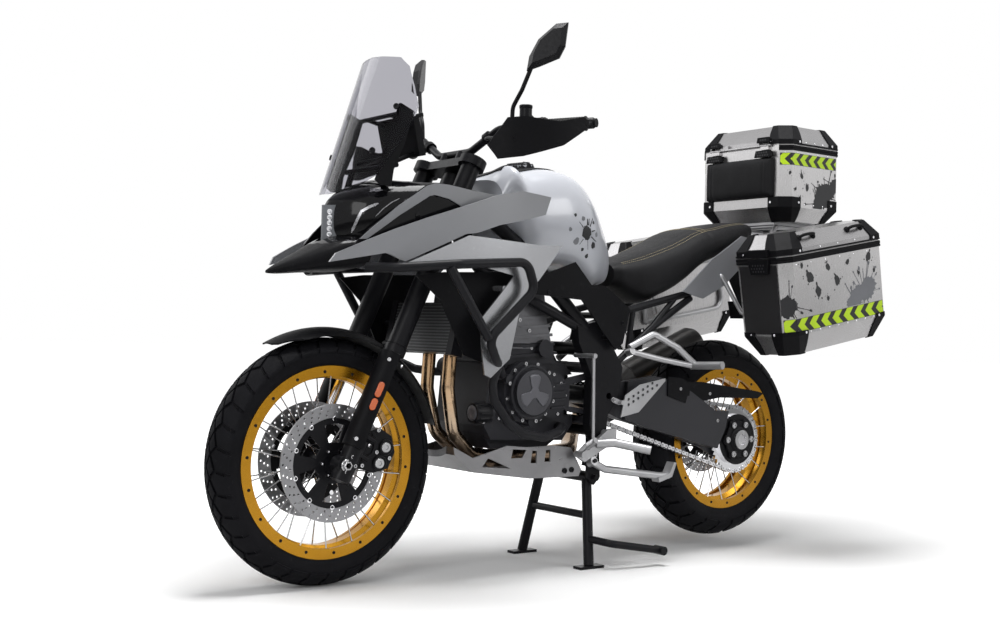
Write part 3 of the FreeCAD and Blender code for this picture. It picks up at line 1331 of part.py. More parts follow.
def make_swingarm():
    """A single-sided arm on the left; the chain runs between its outer beam and its inner web."""
    core = plate([(850, 478), (850, 516), (900, 510), (1335, 458), (1335, 335), (1180, 380), (1040, 418), (960, 428)],
                 "-arm_outer + 30", "-arm_inner")
    beam = plate([(842, 472), (842, 534), (960, 545), (1080, 560), (1175, 545), (1345, 452), (1345, 332),
                  (1180, 372), (1040, 405), (960, 425)], "-arm_outer + arm_wall", "-arm_outer + 30")
    panel = plate([(955, 432), (965, 545), (1080, 560), (1175, 545), (1345, 452), (1405, 450), (1390, 392),
                   (1356, 332), (1180, 372), (1040, 405)], "-arm_outer", "-arm_outer + arm_wall")
    axle_x, axle_z = mm("wheelbase"), mm("rear_tyre_radius") + mm("rear_wheel_lift")
    web = plate([(842, 472), (842, 516), (900, 510), (1335, 458), (1400, 440), (axle_x, axle_z + 64),
                 (axle_x, axle_z - 64), (1390, 300), (1335, 330), (1180, 376), (1040, 412), (960, 428)],
                "-arm_inner", "-arm_inner + arm_web")
    hub = drum("wheelbase", "rear_tyre_radius + rear_wheel_lift", "-92", "-66", "arm_hub_radius")
    thin = drum("pivot_station", "pivot_height", "-arm_outer + 12", "-70", 17)
    thick = drum("pivot_station", "pivot_height", "-arm_inner + arm_web", "126", 30)
    rear_bar = plate([(1050, 445), (1050, 532), (1112, 516), (1118, 470), (1100, 448)], "-81", "90")
    right_bar = plate([(868, 478), (868, 528), (1060, 532), (1060, 446), (980, 444)], "42", "90")
    left_bar = plate([(868, 478), (868, 522), (1060, 520), (1060, 446), (980, 444)], "-81", "-42")
    hole = [drum("wheelbase", "rear_tyre_radius + rear_wheel_lift", "-240", "240", "rear_axle_outer"),
            drum("pivot_station", "pivot_height", "-240", "240", 10)]
    node("swingarm", [cut(fuse([core, beam, panel, web, hub, thin, thick, rear_bar, right_bar, left_bar]), hole)])


def make_chain_guard():
    """A guard over the chain's upper run, seated on the arm's outer face, and a fin behind it."""
    top = plate([(1150, 520), (1205, 500), (1215, 539), (1300, 542), (1556, 511), (1582, 504), (1556, 488), (1376, 492),
                 (1290, 480), (1150, 508)], "-128", "-122")
    lip = plate([(1215, 539), (1300, 542), (1556, 511), (1556, 507), (1300, 537), (1215, 533)], "-128", "-84")
    foot = plate([(1128, 500), (1205, 478), (1225, 540), (1180, 556), (1128, 560)], "-arm_outer - 5", "-arm_outer - 0.3")
    stay = plate([(1190, 500), (1220, 500), (1224, 538), (1196, 545)], "-arm_outer - 5", "-122")
    arm_room = plate([(955, 432), (965, 545), (1080, 560.3), (1175.2, 545.3), (1345.3, 452), (1345, 332), (1000, 400)],
                     "-arm_outer - 0.3", "-60")
    node("chain_guard", [cut(fuse([top, lip, foot, stay]), [arm_room])])


def make_shock():
    """A central damper in its spring, between the cross tube and the linkage under the arm."""
    top, low = Vec(934, 0, 662), Vec(978, 0, 418)
    line = (low - top).normalize()
    body = [rod(tuple(top), tuple(low), 11), rod(tuple(top + line * 12), tuple(top + line * 96), 24),
            rod(tuple(top + line * 30), tuple(top + line * 38), 36),
            rod(tuple(top + line * 196), tuple(top + line * 206), 36)]
    for index in range(6):
        start = 46 + 26 * index
        body.append(loft([ring_wire(top + line * (start - 8), line, 25), ring_wire(top + line * start, line, 34),
                          ring_wire(top + line * (start + 8), line, 34), ring_wire(top + line * (start + 16), line, 25)],
                         True))
    bracket = plate([(862, 640), (866, 664), (940, 676), (948, 654), (930, 640)], "-16", "16")
    rocker = plate([(846, 392), (846, 412), (984, 430), (1062, 446), (1066, 436), (990, 404)], "-14", "14")
    room = [drum("850", "640", "-100", "100", 20.3), drum("840", "400", "-100", "100", 16.3),
            plate([(1049.7, 444.7), (1049.7, 540), (1200, 540), (1200, 440), (1100, 447.7)], "-100", "100")]
    node("rear_shock", [cut(fuse(body + [bracket, rocker]), room)])


def make_foot_controls():
    """Peg hangers on the frame plates, with gear lever, brake pedal, heel guard and passenger pegs."""
    face = "-frame_half_width - frame_plate"
    hanger = plate([(735, 330), (760, 315), (880, 372), (880, 410), (845, 405)], face + " - 24", face + " - 12")
    standoff = [drum("850", "394", face + " - 14", face, 11), drum("866", "398", face + " - 14", face, 8)]
    peg = tube([(806, -186, 366), (850, -215, 370), (925, -290, 352)], 13, 10)
    shaft = drum("765", "622", "-220", face + " + 4", 8)
    shaft_end = drum("765", "622", "-220", "-engine_half_width + 10", 7)
    rod_up = rod((770, -212, 380), (765, -212, 622), 5)
    lever = tube([(772, -212, 380), (740, -214, 365), (690, -240, 345)], 6, 10)
    pivot = rod((772, -180, 352), (772, -222, 380), 9)
    toe = rod((690, -232, 345), (690, -268, 345), 9)
    guard = plate([(900, 441), (917, 505), (976, 537), (1079, 556), (1079, 548), (972, 455)], "-185", "-181")
    stay = [drum("908", "484", "-185", face, 7)]
    left = fuse([hanger, peg, rod_up, lever, pivot, toe, guard, shaft_end] + standoff + stay)
    frame_room = plate([(742, 706), (812, 722), (885, 641), (920, 588), (908, 500), (865, 446), (861, 398), (812, 372),
                        (796, 420), (800, 560), (748, 660)], "-frame_half_width - frame_plate", "-frame_half_width")
    pillion = fuse([tube([(952, -160, 648), (1036, -175, 690), (1120, -192, 650), (1185, -202, 600)], 10, 20),
                    tube([(952, -160, 636), (1070, -184, 612), (1185, -202, 594)], 9, 20),
                    rod((1178, -196, 596), (1200, -305, 600), 12), rod((956, -144, 630), (956, -170, 638), 11)])
    pedal = fuse([mirrored(hanger), mirrored(peg)] + [mirrored(piece) for piece in standoff]
                 + [tube([(800, 186, 345), (720, 200, 335), (640, 225, 372)], 7, 20), rod((648, 218, 366), (632, 256, 376), 9)])
    lower_rail = tube([(924, -mm("frame_half_width") - 6, 606), (1060, -mm("subframe_half_width") - 8, 706),
                       (1235, -mm("subframe_half_width"), 806)], "subframe_radius + 0.3", 60)
    passenger = cut(pillion, [lower_rail])
    node("foot_controls", [cut(left, [frame_room]), pedal] + both(passenger))


# Luggage

def pannier_point(along, up):
    tilt = math.radians(mm("pannier_tilt_degrees"))
    return (mm("pannier_station") + along * math.cos(tilt) - up * math.sin(tilt),
            mm("pannier_height") + along * math.sin(tilt) + up * math.cos(tilt))


def pannier_ring(up, inset, grow=0.0):
    """One section of a side case, with its outer corners cut off, in the case's own frame."""
    height = mm("pannier_lid_edge")
    inner = mm("pannier_inner") + inset
    outer = mm("pannier_inner") + mm("pannier_width") + mm("pannier_flare") * min(max(up, 0), height) / height - inset
    low, high = inset, mm("pannier_length") - inset
    corner = mm("pannier_corner")
    return polygon([(low, -inner, up), (high, -inner, up), (high, -outer + corner, up), (high - corner, -outer, up),
                    (low + corner, -outer, up), (low, -outer + corner, up)])


def box_ring(up, inset):
    """One section of the top case, with its four corners cut off."""
    front, half = mm("top_box_front") + inset, mm("top_box_half_width") - inset
    rear = mm("top_box_front") + mm("top_box_length") - inset
    corner = mm("top_box_corner")
    return polygon([(front, -half + corner, up), (front + corner, -half, up), (rear - corner, -half, up),
                    (rear, -half + corner, up), (rear, half - corner, up), (rear - corner, half, up),
                    (front + corner, half, up), (front, half - corner, up)])


def make_case(sections, hollow):
    return cut(loft(sections, True), [loft(hollow, True)])


def tilted(item):
    whole = doc.addObject("Part::Compound", "Tilted")
    whole.Links = [item]
    whole.Placement.Rotation = Turn(Vec(0, 1, 0), -mm("pannier_tilt_degrees"))
    whole.setExpression("Placement.Base.x", formula("pannier_station"))
    whole.setExpression("Placement.Base.z", formula("pannier_height"))
    return whole


def make_panniers():
    wall, taper, drop = mm("box_wall"), mm("pannier_taper"), mm("pannier_base_drop")
    seam, edge, top = mm("pannier_seam"), mm("pannier_lid_edge"), mm("pannier_top")
    gap = mm("lid_gap")
    inner = mm("pannier_inner")
    length = mm("pannier_length")
    body = make_case([pannier_ring(-drop, taper), pannier_ring(0, 0), pannier_ring(seam, 0)],
                     [pannier_ring(-drop + wall, taper + wall * 0.6), pannier_ring(0, wall), pannier_ring(seam + 5, wall)])
    lid = make_case([pannier_ring(seam + gap, 0), pannier_ring(edge, 0), pannier_ring(top, taper)],
                    [pannier_ring(seam - 5, wall), pannier_ring(edge, wall), pannier_ring(top - wall, taper + wall * 0.6)])
    pin_y, pin_up = -inner + 6, seam + gap / 2
    pin = rod((60, pin_y, pin_up), (length - 60, pin_y, pin_up), 4)
    knuckles = [block((along, -inner, pin_up - 14), (34, 8, 13.5)) for along in (70, length - 104)]
    leaf = [block((along, -inner, pin_up + 0.5), (34, 8, 13.5)) for along in (110, length - 144)]
    hole = rod((50, pin_y, pin_up), (length - 50, pin_y, pin_up), 4.4)
    body = cut(fuse([body] + knuckles), [hole])
    body_half = body
    lid = cut(fuse([lid] + leaf), [])
    lid = fuse([lid, pin])
    body, lid = tilted(body_half), tilted(lid)
    node("pannier_left", [body])
    node("pannier_lid_left", [lid])
    node("pannier_right", [mirrored(body)])
    node("pannier_lid_right", [mirrored(lid)])


def make_top_box():
    wall, taper = mm("box_wall"), mm("top_box_taper")
    base, start, seam = mm("top_box_base"), mm("top_box_wall_start"), mm("top_box_seam")
    edge, top, gap = mm("top_box_lid_edge"), mm("top_box_top"), mm("lid_gap")
    front, half = mm("top_box_front"), mm("top_box_half_width")
    body = make_case([box_ring(base, taper), box_ring(start, 0), box_ring(seam, 0)],
                     [box_ring(base + wall, taper + wall * 0.6), box_ring(start, wall), box_ring(seam + 5, wall)])
    lid = make_case([box_ring(seam + gap, 0), box_ring(edge, 0), box_ring(top, taper)],
                    [box_ring(seam - 5, wall), box_ring(edge, wall), box_ring(top - wall, taper + wall * 0.6)])
    x, z = front - 6, seam + gap / 2
    pin = rod((x, -half + 60, z), (x, half - 60, z), 4)
    knuckles = [block((front - 9, y, z - 14), (9, 34, 13.5)) for y in (-half + 70, half - 104)]
    leaf = [block((front - 9, y, z + 0.5), (9, 34, 13.5)) for y in (-half + 110, half - 144)]
    hole = rod((x, -half + 50, z), (x, half - 50, z), 4.4)
    node("top_box", [cut(fuse([body] + knuckles), [hole])])
    node("top_box_lid", [fuse([lid, pin] + leaf)])


def make_rack():
    base = mm("top_box_base") - 0.3
    front = mm("top_box_front")
    rear = front + mm("top_box_length")
    r = 8
    pieces = []
    y = mm("subframe_half_width") - 6
    for side in (-1, 1):
        pieces.append(tube([(1556, side * (y + 21.5), 976), (1590, side * (y + 18), 1024), (1640, side * (y - 6), base - 16),
                            (rear - 44, side * (y - 18), base - 16)], r, 60))
        pieces.append(rod((1556, side * (y + 12.4), 976), (1556, side * (y + 30), 976), 10))
    pieces.append(rod((1640, -y + 6, base - 16), (1640, y - 6, base - 16), r))
    pieces.append(rod((rear - 50, -y + 16, base - 16), (rear - 50, y - 16, base - 16), r))
    deck = slab([(front + 36, -120), (rear - 36, -120), (rear - 36, 120), (front + 36, 120)],
                "top_box_base - 10.3", "top_box_base - 0.3")
    holes = [slab([(front + 70, side * 30), (rear - 70, side * 30), (rear - 70, side * 92), (front + 70, side * 92)],
                  "top_box_base - 20", "top_box_base + 5") for side in (-1, 1)]
    pieces.append(cut(deck, holes))
    whole = [fuse(pieces)]
    frame_y = -(mm("pannier_inner") - 0.3 - r)
    points = [pannier_point(along, up) for along, up in ((50, 205), (430, 205), (430, 30), (50, 30))]
    ring = [tube([(x, frame_y, z) for x, z in points], r, 40),
            rod((points[3][0], frame_y, points[3][1]), (points[0][0], frame_y, points[0][1]), r)]
    (ax, az), (bx, bz) = pannier_point(150, 205), pannier_point(90, 30)
    rail = mm("subframe_half_width")
    ring.append(tube([(ax, frame_y, az), (ax - 4, frame_y + 40, az + 12), (1470, -rail - 40, 952), (1470, -rail - 11.3, 952)],
                     r - 1, 12))
    ring.append(tube([(bx, frame_y, bz), (bx - 40, frame_y + 50, bz + 30), (1330, -rail - 40, 882), (1330, -rail - 11.6, 882)],
                     r - 1, 12))
    panel_room = curved_panel([(1150, 780), (1254, 780), (1345, 835), (1425, 900), (1540, 955), (1540, 1015),
                               (1428, 1030), (1290, 950), (1150, 850)],
                              [(1150, -158.4), (1300, -166.4), (1450, -158.4), (1580, -132.4)], "panel_wall + 0.8")
    node("luggage_rack", whole + both(cut(fuse(ring), [panel_room])))


# Stands

def make_centre_stand():
    px, pz = mm("stand_pivot_station"), mm("stand_pivot_height")
    fx = mm("stand_foot_station")
    half, foot = mm("stand_pivot_half_width"), mm("stand_foot_half_width")
    pieces = [drum("stand_pivot_station", "stand_pivot_height", "-stand_pivot_half_width - 12",
                   "stand_pivot_half_width + 12", "stand_pivot_radius + 4"),
              drum("stand_pivot_station", "stand_pivot_height", "-frame_half_width - 22", "frame_half_width + 22",
                   "stand_pivot_radius - 3.3")]
    for side in (-1, 1):
        pieces.append(rod((px, side * half, pz), (fx, side * foot, 8), "stand_leg_radius"))
        shoe = slab([(fx - 45, side * foot - 17), (fx + 45, side * foot - 17), (fx + 45, side * foot + 17),
                     (fx - 45, side * foot + 17)], "0", "foot_thickness")
        pieces.append(shoe)
    along = (pz - 150) / (pz - 14)
    brace_y = half + (foot - half) * along
    brace_x = px + (fx - px) * along
    pieces.append(rod((brace_x, -brace_y, 150), (brace_x, brace_y, 150), 11))
    pieces.append(tube([(fx + 6, -foot + 8, 84), (fx + 36, -foot - 56, 76), (1030, -foot - 70, 46)], 11, 24))
    pieces.append(drum("1030", "46", "-248", "-208", 13))
    node("centre_stand", [fuse(pieces)])


def make_side_stand():
    y = -mm("side_stand_across")
    pivot = Vec(800, y, 312)
    axis = Vec(0, 0.932, -0.362)
    knuckle = rod(tuple(pivot - axis * 11.5), tuple(pivot + axis * 11.5), 13)
    leg = tube([(800, y, 312), (846, y - 4, 290), (1060, y - 10, 262), (1100, y - 10, 262)], "side_stand_radius", 30)
    shoe = plate([(1050, 244), (1102, 258), (1120, 300), (1110, 302), (1092, 270), (1046, 256)],
                 "-side_stand_across - 24", "-side_stand_across + 8")
    hole = rod(tuple(pivot - axis * 30), tuple(pivot + axis * 30), 6)
    node("side_stand", [cut(fuse([leg, shoe, knuckle]), [hole])])
    return pivot, axis


def make_stand_bracket():
    """The side stand's fork bracket and pin, on the left frame plate."""
    y = mm("side_stand_across")
    pivot = Vec(800, -y, 312)
    axis = Vec(0, 0.932, -0.362)
    pin = rod(tuple(pivot - axis * 18), tuple(pivot + axis * 24), 5.7)
    cheek = rod(tuple(pivot + axis * 13.4), tuple(pivot + axis * 21), 13)
    arm = plate([(788, 300), (812, 300), (836, 372), (822, 392), (806, 380)], "-frame_half_width - 26", "-frame_half_width - 8")
    room = rod(tuple(pivot - axis * 30), tuple(pivot + axis * 13.3), 18)
    plate_room = plate([(742, 706), (812, 722), (885, 641), (920, 588), (908, 500), (865, 446), (861, 398), (812, 372),
                        (796, 420), (800, 560), (748, 660)], "-frame_half_width - frame_plate", "-frame_half_width")
    node("stand_bracket", [cut(fuse([cut(fuse([cheek, arm]), [room]), pin]), [plate_room])])


make_wheels()
make_discs()
make_drive()
make_rear_axle()
make_fork()
make_fork_guards()
make_clamps()
make_handlebar()
make_hand_guards()
make_mirrors()
make_fender()
make_calipers()
make_frame()
make_subframe()
make_engine()
make_exhaust()
make_radiator()
make_skid_plate()
make_crash_bars()
make_tank()
make_seat()
make_fairings()
make_lower_panels()
make_shrouds()
make_windscreen()
make_nose()
make_cluster()
make_side_covers()
make_tail()
make_swingarm()
make_chain_guard()
make_shock()
make_foot_controls()
make_panniers()
make_top_box()
make_rack()
make_centre_stand()
make_side_stand()
make_stand_bracket()
doc.recompute()

faults = []
for item in doc.Objects:
    if "Invalid" in item.State or "Error" in item.State:
        faults.append("%s (%s) is %s" % (item.Label, item.Name, item.State))
for item in nodes:
    if item.Shape.isNull() or not item.Shape.isValid():
        faults.append(item.Label + " has no valid shape")
if faults:
    raise RuntimeError("; ".join(faults))

os.makedirs("parts", exist_ok=True)
for item in nodes:
    item.Shape.exportStep("parts/%s.step" % item.Label)
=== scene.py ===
import math
import random

import bmesh
import bpy
from mathutils import Matrix, Vector


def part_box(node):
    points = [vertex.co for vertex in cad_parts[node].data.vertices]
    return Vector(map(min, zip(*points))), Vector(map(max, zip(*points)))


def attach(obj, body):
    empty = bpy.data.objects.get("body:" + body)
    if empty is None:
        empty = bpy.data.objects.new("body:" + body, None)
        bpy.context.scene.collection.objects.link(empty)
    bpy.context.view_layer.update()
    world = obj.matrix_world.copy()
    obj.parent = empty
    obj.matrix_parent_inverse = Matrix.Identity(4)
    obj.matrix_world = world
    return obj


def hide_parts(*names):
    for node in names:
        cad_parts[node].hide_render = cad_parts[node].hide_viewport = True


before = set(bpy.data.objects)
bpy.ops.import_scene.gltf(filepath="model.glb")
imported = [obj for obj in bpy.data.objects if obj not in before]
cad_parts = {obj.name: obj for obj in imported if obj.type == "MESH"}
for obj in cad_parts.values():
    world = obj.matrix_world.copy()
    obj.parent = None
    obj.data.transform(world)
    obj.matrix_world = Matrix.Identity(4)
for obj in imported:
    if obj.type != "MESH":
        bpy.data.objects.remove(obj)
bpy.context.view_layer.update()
scene = bpy.context.scene
SHIFT = -0.7735          # from the front axle's station to the middle of the frame, in metres


def P(x, y, z):
    """A station, a place across and a height in millimetres as a point of the frame."""
    return Vector((x / 1000 + SHIFT, y / 1000, z / 1000))


def side_name(side):
    return "left" if side < 0 else "right"


# Camera

YAW, PITCH, ROLL = 0.6395, 0.0177, 0.0257
CAMERA_AT = (-1.7531 + SHIFT, -3.094, 0.6822)
SENSOR, FOCAL = 36, 47.66
SHIFT_RIGHT, SHIFT_UP = 0.0094, -0.00358
ahead = Vector((math.sin(YAW) * math.cos(PITCH), math.cos(YAW) * math.cos(PITCH), math.sin(PITCH)))
level = Vector((math.cos(YAW), -math.sin(YAW), 0))
upright = level.cross(ahead)
right = level * math.cos(ROLL) + upright * math.sin(ROLL)
up = -level * math.sin(ROLL) + upright * math.cos(ROLL)
camera = bpy.data.objects.new("camera", bpy.data.cameras.new("camera"))
scene.collection.objects.link(camera)
scene.camera = camera
camera.data.sensor_width = SENSOR
camera.data.lens = FOCAL
camera.data.shift_x = SHIFT_RIGHT
camera.data.shift_y = SHIFT_UP
camera.data.clip_end = 200
camera.matrix_world = Matrix((
    (right.x, up.x, -ahead.x, CAMERA_AT[0]), (right.y, up.y, -ahead.y, CAMERA_AT[1]),
    (right.z, up.z, -ahead.z, CAMERA_AT[2]), (0, 0, 0, 1)))


# Materials


class Nodes:
    """A short way to write a node tree."""

    def __init__(self, name):
        self.material = bpy.data.materials.new(name)
        self.material.use_nodes = True
        self.tree = self.material.node_tree
        self.shader = self.tree.nodes["Principled BSDF"]
        self.place = self.add("ShaderNodeTexCoord").outputs["Object"]

    def add(self, kind, **values):
        made = self.tree.nodes.new(kind)
        for key, value in values.items():
            setattr(made, key, value)
        return made

    def link(self, source, target):
        if hasattr(source, "is_output"):
            self.tree.links.new(source, target)
        else:
            target.default_value = source

    def maths(self, operation, *inputs, clamp=False):
        made = self.add("ShaderNodeMath", operation=operation, use_clamp=clamp)
        for index, value in enumerate(inputs):
            self.link(value, made.inputs[index])
        return made.outputs[0]

    def scaled(self, scale, source=None):
        made = self.add("ShaderNodeMapping")
        self.link(source or self.place, made.inputs["Vector"])
        made.inputs["Scale"].default_value = scale if hasattr(scale, "__len__") else (scale,) * 3
        return made.outputs[0]

    def noise(self, scale, detail=3.0, rough=0.5, stretch=None, distortion=0.0):
        made = self.add("ShaderNodeTexNoise")
        self.link(self.scaled(stretch) if stretch else self.place, made.inputs["Vector"])
        made.inputs["Scale"].default_value = scale
        made.inputs["Detail"].default_value = detail
        made.inputs["Roughness"].default_value = rough
        made.inputs["Distortion"].default_value = distortion
        return made.outputs["Fac"]

    def cells(self, scale):
        made = self.add("ShaderNodeTexVoronoi")
        self.link(self.place, made.inputs["Vector"])
        made.inputs["Scale"].default_value = scale
        return made.outputs["Distance"]

    def spread(self, source, low, high, to_low=0.0, to_high=1.0):
        made = self.add("ShaderNodeMapRange")
        self.link(source, made.inputs["Value"])
        for key, value in (("From Min", low), ("From Max", high), ("To Min", to_low), ("To Max", to_high)):
            made.inputs[key].default_value = value
        return made.outputs["Result"]

    def mixed(self, factor, first, second):
        made = self.add("ShaderNodeMix", data_type="RGBA")
        self.link(factor, made.inputs["Factor"])
        for value, socket in ((first, made.inputs[6]), (second, made.inputs[7])):
            self.link(value if hasattr(value, "is_output") else (*value[:3], 1), socket)
        return made.outputs[2]

    def bump(self, height, distance, strength=1.0, normal=None):
        made = self.add("ShaderNodeBump")
        made.inputs["Strength"].default_value = strength
        made.inputs["Distance"].default_value = distance
        self.link(height, made.inputs["Height"])
        if normal is not None:
            self.link(normal, made.inputs["Normal"])
        return made.outputs[0]

    def set(self, **values):
        for key, value in values.items():
            name = {"colour": "Base Color", "metal": "Metallic", "rough": "Roughness", "normal": "Normal",
                    "coat": "Coat Weight", "coat_rough": "Coat Roughness", "spec": "Specular IOR Level",
                    "glass": "Transmission Weight", "ior": "IOR",
                    "glow": "Emission Color", "glow_power": "Emission Strength"}[key]
            if key in ("colour", "glow") and not hasattr(value, "is_output"):
                value = (*value[:3], 1)
            self.link(value, self.shader.inputs[name])
        return self.material


def shade(colour, amount):
    return tuple(min(1.0, c * amount) for c in colour[:3])


def finish(name, colour, rough, metal=0.0, vary=0.12, vary_scale=7, rough_vary=0.08, grain=None, brush=None,
           wear=0.0, **more):
    """One finish with a slow change of tone, a fine surface and small marks of use.

    grain is (cells a metre, depth in metres, kind) and brush is a stretch of the fine lines."""
    n = Nodes(name)
    tone = n.noise(vary_scale, 4, 0.55)
    base = n.mixed(n.spread(tone, 0.3, 0.7), shade(colour, 1 - vary), shade(colour, 1 + vary))
    fine = n.noise(140 if brush is None else 60, 3, 0.6, stretch=brush)
    swing = rough_vary * (0.5 if metal > 0.8 else 1.0)
    marks = n.spread(fine, 0.25, 0.75, max(0.02, rough - swing), min(1.0, rough + swing))
    if wear:
        scuffs = n.spread(n.noise(38, 6, 0.75, distortion=0.6), 0.6, 0.72, 0, wear)
        base = n.mixed(scuffs, base, shade(tuple(c + 0.05 for c in colour[:3]), 1.5))
        marks = n.maths("ADD", marks, n.maths("MULTIPLY", scuffs, 0.2), clamp=True)
    normal = None
    if brush is not None:
        normal = n.bump(n.noise(220, 2, 0.5, stretch=brush), 0.00002, 0.5)
    if grain:
        per_metre, depth, kind = grain
        height = n.cells(per_metre) if kind == "cells" else n.noise(per_metre, 2, 0.6)
        normal = n.bump(height, depth, 0.8, normal)
    values = dict(colour=base, rough=marks, metal=metal, **more)
    if normal is not None:
        values["normal"] = normal
    return n.set(**values)


MATT = finish("matt_black_plastic", (0.0055, 0.0055, 0.0065), 0.46, grain=(1500, 0.00008, "noise"), spec=0.07,
              wear=0.10)
SATIN = finish("satin_black_paint", (0.0075, 0.0075, 0.009), 0.34, grain=(900, 0.00004, "noise"), spec=0.12,
               wear=0.08)
GLOSS = finish("gloss_black_plastic", (0.005, 0.005, 0.006), 0.10, vary=0.2, spec=0.16, coat=0.04,
               coat_rough=0.06)
POWDER = finish("black_powder_coat", (0.011, 0.011, 0.013), 0.38, grain=(1300, 0.00012, "noise"), spec=0.12,
                wear=0.12)
CASE = finish("grey_black_casting", (0.020, 0.020, 0.024), 0.42, grain=(1100, 0.00016, "noise"), spec=0.2,
              wear=0.2)
SILENCER = finish("dark_brushed_silencer", (0.075, 0.073, 0.072), 0.36, metal=0.9, vary=0.15,
                  brush=(2, 14, 14), wear=0.2)
CAST = finish("bright_casting", (0.38, 0.38, 0.39), 0.38, metal=0.85, grain=(800, 0.00014, "noise"), wear=0.2)
SKID = finish("skid_aluminium", (0.24, 0.238, 0.245), 0.30, metal=0.85, vary=0.10, brush=(1, 8, 1))
STEEL = finish("bright_steel", (0.47, 0.47, 0.48), 0.25, metal=1.0, vary=0.04)
CHROME = finish("polished_steel", (0.78, 0.78, 0.80), 0.08, metal=1.0, vary=0.05, rough_vary=0.04)
DISC = finish("brake_disc_steel", (0.27, 0.27, 0.28), 0.30, metal=0.95, vary=0.06, rough_vary=0.04)
GOLD = finish("gold_anodised", (0.47, 0.225, 0.010), 0.24, metal=0.85, vary=0.04, rough_vary=0.02, coat=0.15,
              coat_rough=0.1)
# The cases' aluminium changes tone slowly and strongly across each side: painted reflection, broad lighter and
# darker patches in place of the studio's reflections.
BOX = finish("brushed_box_aluminium", (0.50, 0.492, 0.495), 0.28, metal=0.95, vary=0.14, rough_vary=0.04,
             vary_scale=1.8, brush=(14, 14, 0.6))
LID = finish("brushed_lid_aluminium", (0.34, 0.335, 0.34), 0.28, metal=0.95, vary=0.15, vary_scale=2,
             brush=(0.6, 14, 14))
DARK_SHEET = finish("graphite_sheet", (0.030, 0.029, 0.031), 0.36, metal=0.5, vary=0.12, brush=(14, 14, 0.6),
                    spec=0.3)
TANK = finish("pale_tank_paint", (0.50, 0.515, 0.56), 0.24, vary=0.03, rough_vary=0.015, vary_scale=3,
              coat=0.5, coat_rough=0.08, grain=(300, 0.000006, "noise"))
GREY = finish("pale_blue_grey_paint", (0.215, 0.22, 0.235), 0.30, rough_vary=0.015, vary=0.03, vary_scale=3,
              coat=0.4, coat_rough=0.10, grain=(300, 0.000006, "noise"), wear=0)
SILVER = finish("silver_paint", (0.36, 0.365, 0.38), 0.24, metal=0.85, vary=0.03, coat=0.3, coat_rough=0.08,
                grain=(300, 0.000006, "noise"), wear=0)
RUBBER = finish("tyre_rubber", (0.0070, 0.0070, 0.0085), 0.55, vary=0.18, vary_scale=14,
                grain=(700, 0.00022, "noise"), spec=0.06, wear=0.12)
GRIP = finish("grip_rubber", (0.012, 0.012, 0.012), 0.7, grain=(420, 0.0005, "cells"), spec=0.3)
LIME = finish("reflective_lime", (0.52, 0.76, 0.012), 0.35, vary=0.05, grain=(1500, 0.00006, "cells"),
              spec=0.5)
# Near-black ink of the splashes and bands, also used as painted shade on the floors of wells and holes.
INK_AND_PAINTED_SHADE = finish("splash_ink_and_painted_shade", (0.012, 0.012, 0.014), 0.42, vary=0.15, grain=(1800, 0.00003, "noise"), spec=0.4)
INK_GREY = finish("splash_ink_grey", (0.16, 0.165, 0.18), 0.42, vary=0.15, spec=0.4,
                  grain=(1800, 0.00003, "noise"))
# The amber lens also glows faintly: painted light standing in for the light a reflector sends back.
AMBER = finish("amber_reflector", (0.48, 0.085, 0.006), 0.12, vary=0.10, grain=(380, 0.0006, "cells"),
               coat=0.8, glow=(0.85, 0.13, 0.012), glow_power=0.12)
MIRROR = finish("mirror_glass", (0.80, 0.82, 0.84), 0.03, metal=1.0, vary=0.03, rough_vary=0.01)
DISPLAY = finish("display_glass", (0.004, 0.005, 0.007), 0.06, vary=0.1, spec=0.6, coat=0.3, coat_rough=0.03)
THREAD = finish("pale_thread", (0.42, 0.36, 0.22), 0.7, grain=(2500, 0.0001, "noise"))
BRAKE_PAD = finish("copper_brown", (0.32, 0.16, 0.06), 0.5, metal=0.5, grain=(900, 0.0001, "noise"))
SEAT_COVER = finish("grained_seat_cover", (0.0085, 0.0085, 0.0095), 0.55, vary=0.2, vary_scale=18,
                    grain=(640, 0.0003, "cells"), spec=0.12)
DARK_LINK = finish("dark_link_plates", (0.10, 0.10, 0.105), 0.35, metal=0.9, vary=0.1)
COVER_LIGHT = finish("cover_light_grey", (0.115, 0.115, 0.128), 0.34, metal=0.5, vary=0.06, spec=0.35)
COVER_GREY = finish("cover_grey", (0.055, 0.055, 0.062), 0.38, metal=0.4, vary=0.06,
                    grain=(1500, 0.00006, "noise"), spec=0.35)
CYLINDER = finish("grey_cylinder_casting", (0.115, 0.115, 0.122), 0.42, metal=0.75,
                  grain=(900, 0.00018, "noise"), wear=0.2)
SWINGARM = finish("swingarm_paint", (0.020, 0.020, 0.024), 0.40, vary=0.08, grain=(1300, 0.00008, "noise"),
                  spec=0.3)
ANODISED = finish("black_anodised", (0.012, 0.012, 0.014), 0.25, metal=0.6, vary=0.1)
GLOW_WHITE = finish("display_white", (0.75, 0.77, 0.80), 0.4, vary=0.03)
GLOW_BLUE = finish("display_blue", (0.12, 0.30, 0.55), 0.4, vary=0.03)
GREY_TRIM = finish("pale_silver_trim", (0.30, 0.30, 0.315), 0.28, metal=0.7, vary=0.05, coat=0.2,
                   coat_rough=0.1)


